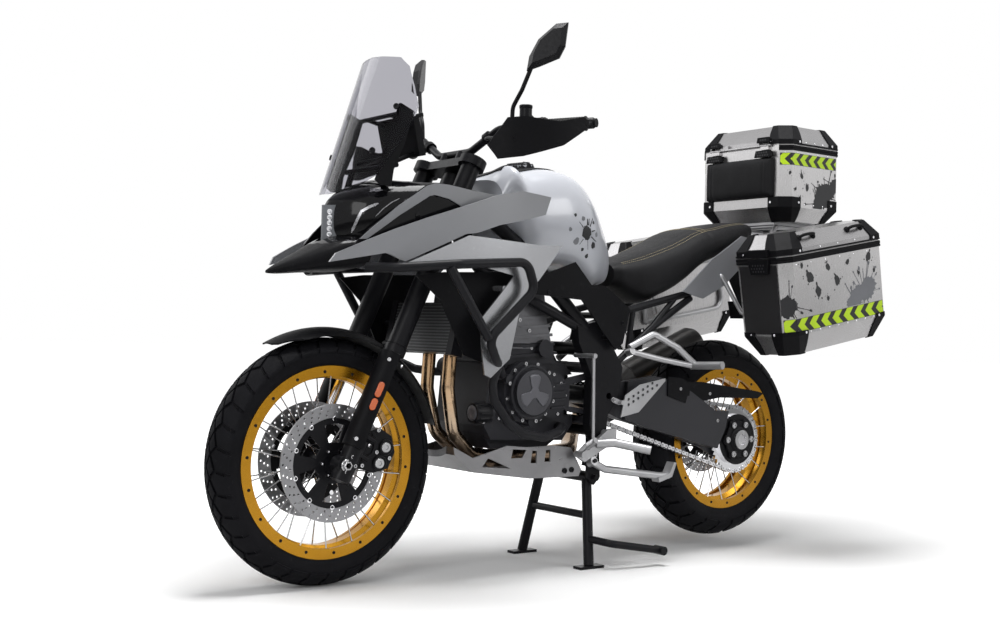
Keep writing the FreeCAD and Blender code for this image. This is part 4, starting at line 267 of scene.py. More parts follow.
def tinted_header():
    """Stainless pipe with the straw, copper and blue of heat near the ports."""
    n = Nodes("heat_tinted_pipe")
    split = n.add("ShaderNodeSeparateXYZ")
    n.link(n.place, split.inputs[0])
    ramp = n.add("ShaderNodeValToRGB")
    height = n.maths("ADD", n.spread(split.outputs["Z"], 0.30, 0.76),
                     n.spread(n.noise(9, 3), 0.3, 0.7, -0.08, 0.08))
    n.link(height, ramp.inputs[0])
    stops = [(0.0, (0.24, 0.17, 0.115)), (0.25, (0.50, 0.38, 0.27)), (0.55, (0.55, 0.36, 0.20)),
             (0.8, (0.42, 0.22, 0.12)), (1.0, (0.30, 0.19, 0.15))]
    ramp.color_ramp.elements[0].position, ramp.color_ramp.elements[0].color = stops[0][0], (*stops[0][1], 1)
    ramp.color_ramp.elements[1].position, ramp.color_ramp.elements[1].color = stops[-1][0], (*stops[-1][1], 1)
    for at, colour in stops[1:-1]:
        ramp.color_ramp.elements.new(at).color = (*colour, 1)
    rough = n.spread(n.noise(60, 4, 0.7), 0.3, 0.7, 0.14, 0.3)
    return n.set(colour=ramp.outputs[0], metal=1.0, rough=rough,
                 normal=n.bump(n.noise(300, 2, 0.6, stretch=(1, 1, 0.1)), 0.00004, 0.5))


def screen_plastic():
    n = Nodes("clear_screen")
    streak = n.spread(n.noise(5, 3, 0.6, stretch=(1, 1, 0.4)), 0.3, 0.7, 0.02, 0.07)
    return n.set(colour=n.mixed(n.noise(3, 2), (0.40, 0.40, 0.44), (0.46, 0.455, 0.49)), rough=streak,
                 glass=1.0, ior=1.15, spec=0.35)


def lamp_glass():
    n = Nodes("lamp_lens")
    return n.set(colour=n.mixed(n.noise(6, 2), (0.17, 0.18, 0.195), (0.24, 0.25, 0.27)), glass=0.0, ior=1.3,
                 rough=n.spread(n.noise(40, 2), 0.3, 0.7, 0.01, 0.05))


def radiator_core():
    """Rows of tubes with folded fins between them; the near-black gaps between them are painted shade."""
    n = Nodes("radiator_core")
    split = n.add("ShaderNodeSeparateXYZ")
    n.link(n.place, split.inputs[0])
    rows = n.maths("SINE", n.maths("MULTIPLY", split.outputs["Z"], 2 * math.pi / 0.0085))
    fins = n.maths("SINE", n.maths("MULTIPLY", split.outputs["Y"], 2 * math.pi / 0.0040))
    mesh = n.maths("MULTIPLY", n.spread(rows, -0.6, 0.6), n.spread(fins, -0.6, 0.6))
    # The near-black colour between the tube and fin lines is painted shade in the gaps of the core.
    return n.set(colour=n.mixed(mesh, (0.006, 0.006, 0.007), (0.13, 0.135, 0.14)), metal=0.7, rough=0.4,
                 normal=n.bump(mesh, 0.0006, 0.8))


HEADER, SCREEN, LENS = tinted_header(), screen_plastic(), lamp_glass()
CORE = radiator_core()


def paint(name, first, *rules):
    """Gives a CAD node its finishes: each rule is (test of a face's centre and normal, finish)."""
    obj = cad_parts[name]
    obj.data.materials.clear()
    finishes = [first] + [rule[1] for rule in rules]
    for item in finishes:
        obj.data.materials.append(item)
    if rules:
        for face in obj.data.polygons:
            face.material_index = 0
            for index, (test, _) in enumerate(rules):
                if test(face.center, face.normal):
                    face.material_index = index + 1
    return obj


WHEELBASE, FRONT_HEIGHT, REAR_HEIGHT = 1476, 329, 355
FRONT_AXLE, REAR_AXLE = P(0, 0, FRONT_HEIGHT), P(WHEELBASE, 0, REAR_HEIGHT)


def away(axle):
    """Gives a function that measures a point's distance from an axle's line."""
    return lambda c: math.hypot(c.x - axle.x, c.z - axle.z)


far_front, far_rear = away(FRONT_AXLE), away(REAR_AXLE)
for item, names in (
        (RUBBER, "front_tyre rear_tyre"), (STEEL, "drive_chain rear_axle rear_shock"),
        (SATIN, "main_frame subframe triple_clamps centre_stand handlebar front_calipers"),
        (POWDER, "crash_bars stand_bracket"), (SWINGARM, "swingarm"), (HEADER, "exhaust_headers"),
        (MATT, "front_fender chain_guard fork_guards hand_guards side_covers radiator_shrouds tail_unit"),
        (MATT, "seat"),
        (SILENCER, "muffler"), (TANK, "fuel_tank"), (GREY, "side_fairings tail_panels"),
                    (SILVER, "lower_panels"),
        (LENS, "headlight"), (SCREEN, "windscreen"), (SKID, "skid_plate"),
        (CAST, "foot_controls luggage_rack side_stand"), (BOX, "top_box pannier_left pannier_right"),
        (LID, "top_box_lid pannier_lid_left pannier_lid_right")):
    for name in names.split():
        paint(name, item)
# Nodes with more than one finish: hubs and rims by the distance from the axle, the others by height or side
paint("front_rim", STEEL, (lambda c, n: far_front(c) > 0.2185, GOLD),
      (lambda c, n: far_front(c) < 0.0425, SATIN))
paint("rear_rim", STEEL, (lambda c, n: far_rear(c) > 0.1935, GOLD),
      (lambda c, n: far_rear(c) < 0.0625, SATIN))
paint("front_discs", STEEL, (lambda c, n: far_front(c) < 0.121, SATIN))
paint("rear_disc", STEEL, (lambda c, n: far_rear(c) < 0.093, SATIN))
paint("rear_sprocket", CHROME, (lambda c, n: far_rear(c) < 0.0755, SATIN))
paint("engine", CASE, (lambda c, n: c.z > 0.655, CYLINDER), (lambda c, n: c.y < -0.1645, COVER_GREY))
paint("radiator", SATIN, (lambda c, n: abs(n.y) < 0.3 and abs(n.z) < 0.75 and abs(c.y) < 0.15, CORE))
paint("nose_cowl", MATT, (lambda c, n: c.z > 0.905 and c.x < P(420, 0, 0).x, GLOSS))
paint("instrument_cluster", MATT,
      (lambda c, n: n.x > 0.8 and 1.165 < c.z < 1.262 and c.x > P(222, 0, 0).x, DISPLAY))
paint("mirrors", SATIN, (lambda c, n: n.x > 0.8 and c.z > 1.36, MIRROR))


# Ways of making pieces


def tube_faces(rings, count, closed=False):
    """The quads between rings of points; closed joins the last ring to the first."""
    return [[r * count + i, r * count + (i + 1) % count,
             (r + 1) % rings * count + (i + 1) % count, (r + 1) % rings * count + i]
            for r in range(rings if closed else rings - 1) for i in range(count)]


def grid_faces(rows, width):
    """The quads of an open grid of points."""
    return [[r * width + i, r * width + i + 1, (r + 1) * width + i + 1, (r + 1) * width + i]
            for r in range(rows - 1) for i in range(width - 1)]


class Shape:
    """A mesh that gathers simple solids and then becomes one piece."""

    def __init__(self):
        self.points, self.faces, self.kinds = [], [], []

    def mesh(self, points, faces, kind=0):
        start = len(self.points)
        self.points.extend(Vector(p) for p in points)
        self.faces.extend([start + i for i in face] for face in faces)
        self.kinds.extend([kind] * len(faces))

    def prism(self, outline, along, taper=1.0):
        """An outline of points, pushed along a vector."""
        count = len(outline)
        middle = sum((Vector(p) for p in outline), Vector()) / count
        near = [Vector(p) for p in outline]
        far = [middle + (Vector(p) - middle) * taper + Vector(along) for p in outline]
        sides = [[i, (i + 1) % count, count + (i + 1) % count, count + i] for i in range(count)]
        self.mesh(near + far, [list(range(count))[::-1], [count + i for i in range(count)]] + sides)

    def ring(self, centre, axis, radius, turn=0.0, count=24):
        axis = Vector(axis).normalized()
        side = axis.cross(Vector((0, 0, 1)) if abs(axis.z) < 0.9 else Vector((1, 0, 0))).normalized()
        other = axis.cross(side)
        return [Vector(centre) + (side * math.cos(turn + 2 * math.pi * i / count)
                + other * math.sin(turn + 2 * math.pi * i / count)) * radius for i in range(count)]

    def drum(self, start, end, radius, count):
        start, end = Vector(start), Vector(end)
        self.prism(self.ring(start, end - start, radius, 0, count), end - start)

    def lathe(self, start, axis, section, count):
        """Section is a list of (distance along the axis, radius)."""
        axis, points = Vector(axis).normalized(), []
        for along, radius in section:
            points.extend(self.ring(Vector(start) + axis * along, axis, max(radius, 0.00001), 0, count))
        faces = tube_faces(len(section), count)
        faces.append(list(range(count))[::-1])
        faces.append([(len(section) - 1) * count + i for i in range(count)])
        self.mesh(points, faces)

    def box(self, low, high):
        (a, b, c), (d, e, f) = low, high
        self.prism([(a, b, c), (d, b, c), (d, e, c), (a, e, c)], (0, 0, f - c))

    def bolt(self, at, axis, radius, height):
        """A socket head: a low drum with a six-sided well."""
        axis = Vector(axis).normalized()
        at = Vector(at)
        sides = 18
        points = self.ring(at, axis, radius, 0, sides)
        for up, share in ((1, 0.93), (1, 0.52), (0.35, 0.48)):
            points += self.ring(at + axis * height * up, axis, radius * share, 0, sides)
        self.mesh(points, tube_faces(4, sides) + [[3 * sides + i for i in range(sides)]])

    def piece(self, name, body, *finishes, smooth=True, bevel=0.0):
        """Makes the object, seats it on its body and returns it; a shape with no faces makes none."""
        if not self.faces:
            return None
        data = bpy.data.meshes.new(name)
        data.from_pydata(self.points, [], self.faces)
        for item in finishes:
            data.materials.append(item)
        data.polygons.foreach_set("material_index", [min(k, len(finishes) - 1) for k in self.kinds])
        data.update()
        clean = bmesh.new()
        clean.from_mesh(data)
        bmesh.ops.recalc_face_normals(clean, faces=clean.faces)
        clean.to_mesh(data)
        clean.free()
        made = linked(name, data)
        if bevel:
            rounded(made, bevel, 35)
        if smooth:
            smooth_by_angle(made)
        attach(made, body)
        return made


def rounded(obj, width, degrees):
    edge = obj.modifiers.new("edge", "BEVEL")
    edge.width, edge.segments = width, 2
    edge.limit_method, edge.angle_limit = "ANGLE", math.radians(degrees)


def linked(name, data):
    made = bpy.data.objects.new(name, data)
    scene.collection.objects.link(made)
    return made


def smooth_by_angle(obj, degrees=35):
    data = obj.data
    data.shade_smooth()
    work = bmesh.new()
    work.from_mesh(data)
    limit = math.radians(degrees)
    for edge in work.edges:
        edge.smooth = len(edge.link_faces) == 2 and edge.calc_face_angle(math.pi) < limit
    work.to_mesh(data)
    work.free()


def pipe(name, points, radius, body, item):
    """A smooth round line through points, as a mesh."""
    curve = bpy.data.curves.new(name, "CURVE")
    curve.dimensions = "3D"
    curve.bevel_depth, curve.bevel_resolution, curve.use_fill_caps = radius, 4, True
    line = curve.splines.new("NURBS")
    line.points.add(len(points) - 1)
    for knot, point in zip(line.points, points):
        knot.co = (*point, 1)
    line.order_u, line.use_endpoint_u = 3, True
    line.resolution_u = 10
    curve.materials.append(item)
    made = linked(name, curve)
    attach(made, body)
    return made


UPRIGHT = Matrix.Rotation(math.pi / 2, 4, "X")


def flat_shape(name, outer, holes, thickness, place, body, item, bevel):
    """An upright plate with holes: an outline in its own plane, given thickness and stood up in place."""
    curve = bpy.data.curves.new(name + "_outline", "CURVE")
    curve.dimensions, curve.fill_mode = "2D", "BOTH"
    curve.extrude, curve.bevel_depth, curve.bevel_resolution = thickness / 2 - bevel, bevel, 0
    for loop in [outer] + list(holes):
        line = curve.splines.new("POLY")
        line.points.add(len(loop) - 1)
        for knot, (a, b) in zip(line.points, loop):
            knot.co = (a, b, 0, 1)
        line.use_cyclic_u = True
    draft = linked(name + "_draft", curve)
    bpy.context.view_layer.update()
    data = bpy.data.meshes.new_from_object(draft.evaluated_get(bpy.context.evaluated_depsgraph_get()))
    bpy.data.objects.remove(draft)
    bpy.data.curves.remove(curve)
    data.name = name
    data.transform(Matrix.Translation(place) @ UPRIGHT)
    data.materials.clear()
    data.materials.append(item)
    made = linked(name, data)
    smooth_by_angle(made, 30)
    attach(made, body)
    return made


def circle(radius, count, centre=(0, 0)):
    """A round outline in its own plane."""
    return [(centre[0] + radius * math.cos(2 * math.pi * i / count),
             centre[1] + radius * math.sin(2 * math.pi * i / count)) for i in range(count)]


# Wheels

# The crown's radius and its drop at the shoulder, as shares of the tread's half width
CROWN_SHARE, SHOULDER_SHARE = 1.28, 0.481


def tyre_piece(name, node, body, axle, radius, half, bead, rim_half, pitches, depth, slant):
    """A carcass with a ring of separate tread blocks, in place of the plain ring."""
    tread = half - 4
    crown = tread * CROWN_SHARE
    reach = math.asin(1 / CROWN_SHARE)
    shape = Shape()

    def put(turn, across, up):
        """A point on the tyre; past a share of 1 across it runs down the side wall."""
        if abs(across) > 1:
            t = stop + (start - stop) * (abs(across) - 1) * 0.85
            proud = (wall + min(4.6, (abs(across) - 1) * 34)) if up > -1 else wall - 1.5
            r, y = centre.x + proud * math.cos(t), centre.y + proud * math.sin(t)
            a = turn * 2 * math.pi / pitches
            return Vector((axle.x + r * math.cos(a) / 1000, math.copysign(y, across) / 1000,
                           axle.z + r * math.sin(a) / 1000))
        phi = across * reach
        r = radius - crown + (crown + up) * math.cos(phi)
        a = turn * 2 * math.pi / pitches
        return Vector((axle.x + r * math.cos(a) / 1000, (crown + up) * math.sin(phi) / 1000,
                       axle.z + r * math.sin(a) / 1000))

    top, shoulder = bead + 14, radius - tread * SHOULDER_SHARE
    wall = (radius - bead) * 0.8
    side = [(bead + 0.4, rim_half - 7), (top + 1, rim_half - 4)]
    a, b = Vector((top + 2, rim_half + 1)), Vector((shoulder, tread))
    middle, span = (a + b) / 2, (b - a)
    bulge = math.sqrt(wall * wall - span.length_squared / 4)
    out = Vector((-span.y, span.x)).normalized()
    out = out if out.y > 0 else -out
    centre = middle - out * bulge
    start, stop = math.atan2(a.y - centre.y, a.x - centre.x), math.atan2(b.y - centre.y, b.x - centre.x)
    for i in range(13):
        t = start + (stop - start) * i / 12
        rib = 0.9 if i in (2, 9) else 0.0
        side.append((centre.x + (wall + rib) * math.cos(t), centre.y + (wall + rib) * math.sin(t)))
    section = [(r, -y) for r, y in side]
    for i in range(15):
        phi = reach * (-1 + 2 * (i + 0.5) / 15)
        section.append((radius - crown + (crown - depth) * math.cos(phi), (crown - depth) * math.sin(phi)))
    section += side[::-1]
    count = 144
    turns = [2 * math.pi * i / count for i in range(count)]
    points = [(axle.x + r * math.cos(a) / 1000, y / 1000, axle.z + r * math.sin(a) / 1000)
              for r, y in section for a in turns]
    shape.mesh(points, tube_faces(len(section), count, closed=True))

    def block(corners, gap):
        """One lug with a skirt: corners are (pitches round, share across), drawn in to leave a gap."""
        middle = Vector((sum(c[0] for c in corners), sum(c[1] for c in corners))) / len(corners)
        flat = [middle + (Vector(c) - middle) * (1 - gap) for c in corners]
        work = bmesh.new()
        ring = [work.verts.new((p.x, p.y, 0)) for p in flat]
        heart = work.verts.new((middle.x, middle.y, 0))
        for i in range(len(ring)):
            work.faces.new((ring[i], ring[(i + 1) % len(ring)], heart))
        bmesh.ops.subdivide_edges(work, edges=work.edges[:], cuts=2, use_grid_fill=True)
        edges = [e for e in work.edges if len(e.link_faces) == 1]
        base = [put(v.co.x, v.co.y, 0) for v in work.verts]
        work.verts.index_update()
        faces = [[v.index for v in f.verts] for f in work.faces]
        points, skirt = base, {}
        for e in edges:
            for v in e.verts:
                if v.index not in skirt:
                    skirt[v.index] = len(points)
                    flare = middle + (Vector((v.co.x, v.co.y)) - middle) * (1 + gap * 0.35)
                    points.append(put(flare.x, flare.y, -depth - 0.4))
        for e in edges:
            i, j = (v.index for v in e.verts)
            faces.append([i, j, skirt[j], skirt[i]])
        work.free()
        shape.mesh(points, faces)

    for i in range(pitches):
        block([(i, 0), (i + 0.5, 0.22), (i + 1, 0), (i + 0.5, -0.22)], 0.24)
        for s in (1, -1):
            block([(i + 0.5, s * 0.22), (i + 1 + slant / 2, s * 0.52), (i + 1.5, s * 0.22), (i + 1, 0)], 0.22)
            block([(i + slant / 2, s * 0.52), (i + 0.5, s * 0.22), (i + 1 + slant / 2, s * 0.52),
                   (i + 1 + slant, s * 0.98), (i + 1 + slant * 1.3, s * 1.42),
                   (i + slant * 1.3, s * 1.42), (i + slant, s * 0.98)], 0.17)
    made = shape.piece(name, body, RUBBER)
    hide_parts(node)


# Bead radius and half width of each rim, in millimetres
FRONT_BEAD, FRONT_RIM_HALF = 241, 43
REAR_BEAD, REAR_RIM_HALF = 216, 60
tyre_piece("front_tyre_tread", "front_tyre", "front_wheel", FRONT_AXLE, radius=329, half=56, bead=FRONT_BEAD,
           rim_half=FRONT_RIM_HALF, pitches=34, depth=5.5, slant=0.35)
tyre_piece("rear_tyre_tread", "rear_tyre", "rear_wheel", REAR_AXLE, radius=321, half=75, bead=REAR_BEAD,
           rim_half=REAR_RIM_HALF, pitches=28, depth=6.5, slant=0.35)


def disc_piece(name, node, body, axle, sides, outer, bore, axle_room, bobbins, holes=34, thickness=4.5, arm=6,
               boss=34, windows=6):
    """Drilled rings on slotted carriers, in place of the plain discs."""
    for index, y in enumerate(sides):
        drilled = []
        for k in range(holes):
            for j, share in enumerate((0.78, 0.5, 0.22)):
                r, a = bore + (outer - bore) * share, 2 * math.pi * (k + 0.27 * j) / holes
                drilled.append(circle(0.0034, 12, (math.cos(a) * r / 1000, math.sin(a) * r / 1000)))
        place = Vector((axle.x, y / 1000, axle.z))
        flat_shape("%s_ring_%d" % (name, index), circle(outer / 1000, 144),
                                [circle(bore / 1000, 96)] + drilled, thickness / 1000, place, body, DISC,
                                0.0003)
        slots = []
        for k in range(windows):
            a, b = 2 * math.pi * (k + 0.22) / windows, 2 * math.pi * (k + 0.78) / windows
            r1, r2 = (boss + 20) / 1000, (bore - 15) / 1000
            angles = [(r1, a + (b - a) * t / 8) for t in range(9)] + [(r2,
                b - (b - a) * t / 8) for t in range(9)]
            slots.append([(r * math.cos(q), r * math.sin(q)) for r, q in angles])
        flat_shape("%s_carrier_%d" % (name, index), circle((bore - 1.2) / 1000, 96),
                                slots + [circle(axle_room / 1000, 32)], arm / 1000, place, body, SATIN,
                                0.0006)
        studs = Shape()
        out = 1 if y > 0 else -1
        for k in range(bobbins):
            a = 2 * math.pi * (k + 0.5) / bobbins
            at = place + Vector((math.cos(a), 0, math.sin(a))) * ((bore - 2.8) / 1000)
            studs.lathe(at - Vector((0, out * (arm / 2 + 0.3) / 1000, 0)), (0, out, 0),
                        [(0, 0.0064), (0.0002 + arm / 1000, 0.0064), (0.0005 + arm / 1000, 0.0056),
                         (0.0001 + arm / 1000, 0.0030)], 20)
        for k in range(6):
            a = 2 * math.pi * k / 6
            at = place + Vector((math.cos(a), 0, math.sin(a))) * 0.036 + Vector((0, out * arm / 2000, 0))
            studs.bolt(at, (0, out, 0), 0.0052, 0.004)
        studs.piece("%s_studs_%d" % (name, index), body, CHROME)
    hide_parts(node)


disc_piece("front_brake_disc", "front_discs", "front_wheel", FRONT_AXLE, sides=(-62, 62), outer=155, bore=119,
           axle_room=10.5, bobbins=10)
disc_piece("rear_brake_disc", "rear_disc", "rear_wheel", REAR_AXLE, sides=(43.5,), outer=120, bore=91,
           axle_room=25.6, holes=28, bobbins=8)


def hub_sleeve():
    """The turned spacers that carry the front discs."""
    shape = Shape()
    for side in (-1, 1):
        shape.lathe(FRONT_AXLE + Vector((0, side * 0.0482, 0)), (0, side, 0),
                    [(0, 0.034), (0.0105, 0.034), (0.0175, 0.031), (0.0178, 0.018), (0.0165, 0.0108)], 48)
    shape.piece("front_hub_sleeve", "front_wheel", SATIN)


hub_sleeve()


def nipples(name, axle, body, bead, half, pairs=9):
    """A socket on the rim's edge for each spoke end."""
    shape = Shape()
    for s in (-1, 1):
        for k in range(pairs * 2):
            a = 2 * math.pi * (k + (0.25 if s > 0 else 0.75)) / (pairs * 2)
            out = Vector((math.cos(a), 0, math.sin(a)))
            at = axle + out * ((bead - 1.5) / 1000) + Vector((0, s * (half + 0.1) / 1000, 0))
            shape.lathe(at, (0, s, 0), [(0, 0.0042), (0.0008, 0.0042), (0.0012, 0.0036), (0.0004, 0.002)], 14)
    shape.piece(name, body, SATIN)


nipples("front_spoke_nipples", FRONT_AXLE, "front_wheel", FRONT_BEAD, FRONT_RIM_HALF)
nipples("rear_spoke_nipples", REAR_AXLE, "rear_wheel", REAR_BEAD, REAR_RIM_HALF)


# Luggage trim

TILT = math.radians(10.2)
PANNIER_AT = (1353, 691)                # station and height of a pannier's own origin
PANNIER_INNER, PANNIER_DEPTH, PANNIER_FLARE = 252, 187, 6
TOP_BOX_HALF = 197
INSET = 30.0                            # how far the floor and the roof are drawn in
# Levels of each case, the first station of its side, its length and its corners' cut
CASES = {
    "top": dict(start=1120, seam=1325, edge=1342, top=1392, base=1076, first=1590, length=286, corner=32),
    "side": dict(start=0, seam=242, edge=262, top=309, base=-62, first=0, length=482, corner=33)}
TOP_BOX_REAR = CASES["top"]["first"] + CASES["top"]["length"]


class Case:
    """The walls of one case: a ring of corners at each level, and places on its outer side for flat trim."""

    def __init__(self, kind):
        self.kind = kind
        vars(self).update(CASES[kind])

    def point(self, a, y, u):
        """A point of the frame; dress_pannier gives the side cases their own."""
        return P(a, y, u)

    def inset(self, u):
        if u < self.start:
            return INSET * (self.start - u) / (self.start - self.base)
        return INSET * (u - self.edge) / (self.top - self.edge) if u > self.edge else 0.0

    def outer(self, u):
        if self.kind == "top":
            return TOP_BOX_HALF - self.inset(u)
        flare = PANNIER_FLARE * min(max(u, 0), self.edge) / self.edge
        return PANNIER_INNER + PANNIER_DEPTH + flare - self.inset(u)

    def ring(self, u, grow=0.0):
        """Corners in order from the front, round the outer side; the flat inner wall closes it."""
        n, c = self.inset(u) - grow, self.corner
        low, high, out = self.first + n, self.first + self.length - n, self.outer(u) + grow
        if self.kind == "top":
            inner = [(high, out - c), (high - c, out), (low + c, out), (low, out - c)]
        else:
            wall = PANNIER_INNER + self.inset(u) - grow
            inner = [(high, -wall), (low, -wall)]
        return [(low, -out + c), (low + c, -out), (high - c, -out), (high, -out + c)] + inner

    def on_side(self, s, u, lift=0.3, far=False):
        """A place on the outer side: s runs from the front corner's first edge rearward."""
        bend, c = self.corner * math.sqrt(2), self.corner
        n = self.inset(u)
        if s < bend:
            t = s / bend
            a, y = self.first + n + c * t, -(self.outer(u) - c * (1 - t))
            push = Vector((-1, -1)).normalized() * lift
        else:
            a, y = self.first + n + c + (s - bend), -self.outer(u)
            push = Vector((0, -1)) * lift
        a, y = a + push.x, y + push.y
        return self.point(a, -y if far else y, u)

    def windows(self):
        bend = self.corner * math.sqrt(2)
        return (0, bend), (bend, bend + self.length - 2 * self.corner)


def clipped(polygon, low, high, floor_u, roof_u):
    """A polygon kept inside a rectangle."""
    for axis, limit, keep in ((0, low, 1), (0, high, -1), (1, floor_u, 1), (1, roof_u, -1)):
        made = []
        for i, p in enumerate(polygon):
            q = polygon[i - 1]
            inside_p, inside_q = (p[axis] - limit) * keep >= 0, (q[axis] - limit) * keep >= 0
            if inside_p != inside_q:
                t = (limit - q[axis]) / (p[axis] - q[axis])
                made.append((q[0] + (p[0] - q[0]) * t, q[1] + (p[1] - q[1]) * t))
            if inside_p:
                made.append(p)
        polygon = made
        if len(polygon) < 3:
            return []
    return polygon


def blob(rng, s, u, r, spikes=0.0, stretch=1.0, lean=0.0, count=26):
    """A closed uneven outline round a point."""
    waves = [(k, rng.uniform(0.02, 0.16) / (k ** 0.5), rng.uniform(0, 6.28)) for k in (2, 3, 4, 5, 7)]
    made = []
    for i in range(count):
        a = 2 * math.pi * i / count
        w = r * (1 + sum(m * math.sin(k * a + q) for k, m,
                         q in waves) + (spikes * rng.random() if i % 2 else 0))
        x, y = w * math.cos(a) * stretch, w * math.sin(a)
        made.append((s + x * math.cos(lean) - y * math.sin(lean),
                     u + x * math.sin(lean) + y * math.cos(lean)))
    return made


def streak(rng, s, u, angle, length, width):
    """A thrown line that thins out and ends in a drop."""
    d, n = (math.cos(angle), math.sin(angle)), (-math.sin(angle), math.cos(angle))
    near, far = [], []
    for i in range(9):
        t = i / 8
        w = width * (0.35 + 0.65 * (1 - t) ** 0.8) * (0.7 + 0.6 * rng.random())
        if i >= 7:
            w = width * 0.75
        if i == 8:
            w = 0.12
        p = (s + d[0] * length * t, u + d[1] * length * t)
        near.append((p[0] + n[0] * w, p[1] + n[1] * w))
        far.append((p[0] - n[0] * w, p[1] - n[1] * w))
    return near + far[::-1]


def fan(shape, case, polygon, lift, far, kind=0, floor_u=-1000.0, roof_u=2000.0):
    """A flat polygon laid on the case's side, split where the side bends."""
    lift += (len(shape.faces) % 997) * 0.00018 if lift < 0.3 else 0
    for low, high in case.windows():
        part = clipped(polygon, low + 0.01, high - 0.01, floor_u, roof_u)
        if len(part) >= 3:
            middle = (sum(p[0] for p in part) / len(part), sum(p[1] for p in part) / len(part))
            points = [case.on_side(s, u, lift, far) for s, u in part] + [case.on_side(*middle, lift, far)]
            count = len(part)
            shape.mesh(points, [[i, (i + 1) % count, count] for i in range(count)], kind)


def chevrons(name, case, low_u, high_u, period, far, body):
    """A dark band with bright arrows on a side of the case."""
    shape = Shape()
    end = case.windows()[1][1]
    fan(shape, case, [(4, low_u), (end - 3, low_u), (end - 3, high_u), (4, high_u)], 0.35, far, 0)
    tall = (high_u - low_u) / 2
    mid, lead, bar = (high_u + low_u) / 2, tall * 0.95, period * 0.56
    s = 8 - period * 0.3
    while s < end - 4:
        for v in (-1, 1):
            arm = [(s, mid), (s + bar, mid), (s + bar + lead, mid + v * (tall - 1)),
                   (s + lead, mid + v * (tall - 1))]
            part = clipped(arm, 5, end - 4, low_u, high_u)
            if part:
                fan(shape, case, part, 0.55, far, 1)
        s += period
    return shape.piece(name, body, INK_AND_PAINTED_SHADE, LIME, smooth=False)


def splash(name, case, far, body, seed, masses, drops, floor_u, roof_u):
    """A made-up splash: some masses with thrown lines and drops round them."""
    rng = random.Random(seed)
    shape = Shape()

    def throw(polygon, tone=0):
        fan(shape, case, polygon, 0.25, far, tone, floor_u, roof_u)

    for s, u, r, tone, lines in masses:
        for _ in range(5):
            throw(blob(rng, s + rng.uniform(-r, r) * 0.6, u + rng.uniform(-r, r) * 0.5,
                       r * rng.uniform(0.45, 0.8), 0.35, rng.uniform(0.8, 1.3), rng.uniform(0, 3)), tone)
        for _ in range(lines):
            a = rng.uniform(0, 2 * math.pi)
            reach = r * rng.uniform(0.9, 2.2)
            throw(streak(rng, s + math.cos(a) * r * 0.4, u + math.sin(a) * r * 0.4, a, reach,
                         rng.uniform(0.8, 2.6)), tone)
            throw(blob(rng, s + math.cos(a) * (r * 0.4 + reach), u + math.sin(a) * (r * 0.4 + reach),
                       rng.uniform(1.4, 4.5), 0.1, rng.uniform(1.0, 1.8), a, 14), tone)
    for s, u, r in drops:
        lean = rng.uniform(0.8, 2.2)
        throw(blob(rng, s, u, r, 0.15, rng.uniform(1.1, 1.6), lean, 20))
        throw(streak(rng, s, u, lean, r * rng.uniform(1.6, 2.8), r * 0.4))
        for _ in range(5):
            a, d = rng.uniform(0, 6.28), r * rng.uniform(1.3, 3.0)
            throw(blob(rng, s + math.cos(a) * d, u + math.sin(a) * d, r * rng.uniform(0.08, 0.28), 0, 1.2, a,
                       10))
    return shape.piece(name, body, INK_AND_PAINTED_SHADE, INK_GREY, smooth=False)


def corner_caps(name, case, body, upper, wing=42.0):
    """Black moulded caps folded round the corners, with a screw on each wing."""
    shape, screws = Shape(), Shape()
    if upper:
        levels = [(case.seam + 3, wing), (case.edge, wing), ((case.edge + case.top) / 2, wing * 0.82),
                  (case.top, wing * 0.55)]
    else:
        reach = 34 if case.kind == "top" else 12
        levels = [(case.start + reach, wing), (case.start, wing), ((case.start + case.base) / 2, wing * 0.8),
                  (case.base, wing * 0.5)]
    count = len(case.ring(0 if case.kind != "top" else 1200))
    pairs = [(0, 1), (2, 3), (4, 5), (6, 7)] if case.kind == "top" else [(0, 1), (2, 3), (4, 4), (5, 5)]
    for first, second in pairs:
        rows = []
        for u, w in levels:
            ring = [Vector(p) for p in case.ring(u, 0.4)]
            a, b = ring[first], ring[second]
            before, after = ring[(first - 1) % count], ring[(second + 1) % count]
            p0, p3 = a + (before - a).normalized() * w, b + (after - b).normalized() * w
            if first == second:
                a, b = a + (before - a).normalized() * 3, b + (after - b).normalized() * 3
            rows.append([p0, a, b, p3])
        middle = sum((Vector(p) for p in case.ring(levels[-1][0])), Vector((0, 0))) / count
        flat = [p + (middle - p).normalized() * (16 if upper else 12) for p in rows[-1]]
        heights = [u for u, _ in levels] + [levels[-1][0] + (0.4 if upper else -0.4)]
        rows.append(flat)
        points = [case.point(p.x, p.y, u) for row, u in zip(rows, heights) for p in row]
        shape.mesh(points, grid_faces(len(rows), 4))
        for end in (0, 3):
            u = levels[0][0] + (9 if upper else -(levels[0][0] - levels[1][0]) / 2 - 1)
            row = rows[0]
            p, q = row[end], row[1 if end == 0 else 2]
            at = p + (q - p) * 0.3
            along = (q - p).normalized()
            out = Vector((along.y, -along.x))
            if out.dot(p - Vector((middle.x, middle.y))) < 0:
                out = -out
            at3 = case.point(at.x + out.x * 2.6, at.y + out.y * 2.6, u)
            far3 = case.point(at.x + out.x * 4, at.y + out.y * 4, u)
            screws.bolt(at3, far3 - at3, 0.0042, 0.0022)
    made = shape.piece(name, body, MATT, smooth=False)
    outward(made, case)
    wall = made.modifiers.new("wall", "SOLIDIFY")
    wall.thickness, wall.offset = 0.003, 1
    rounded(made, 0.0011, 30)
    screws.piece(name + "_screws", body, CHROME)
    return made


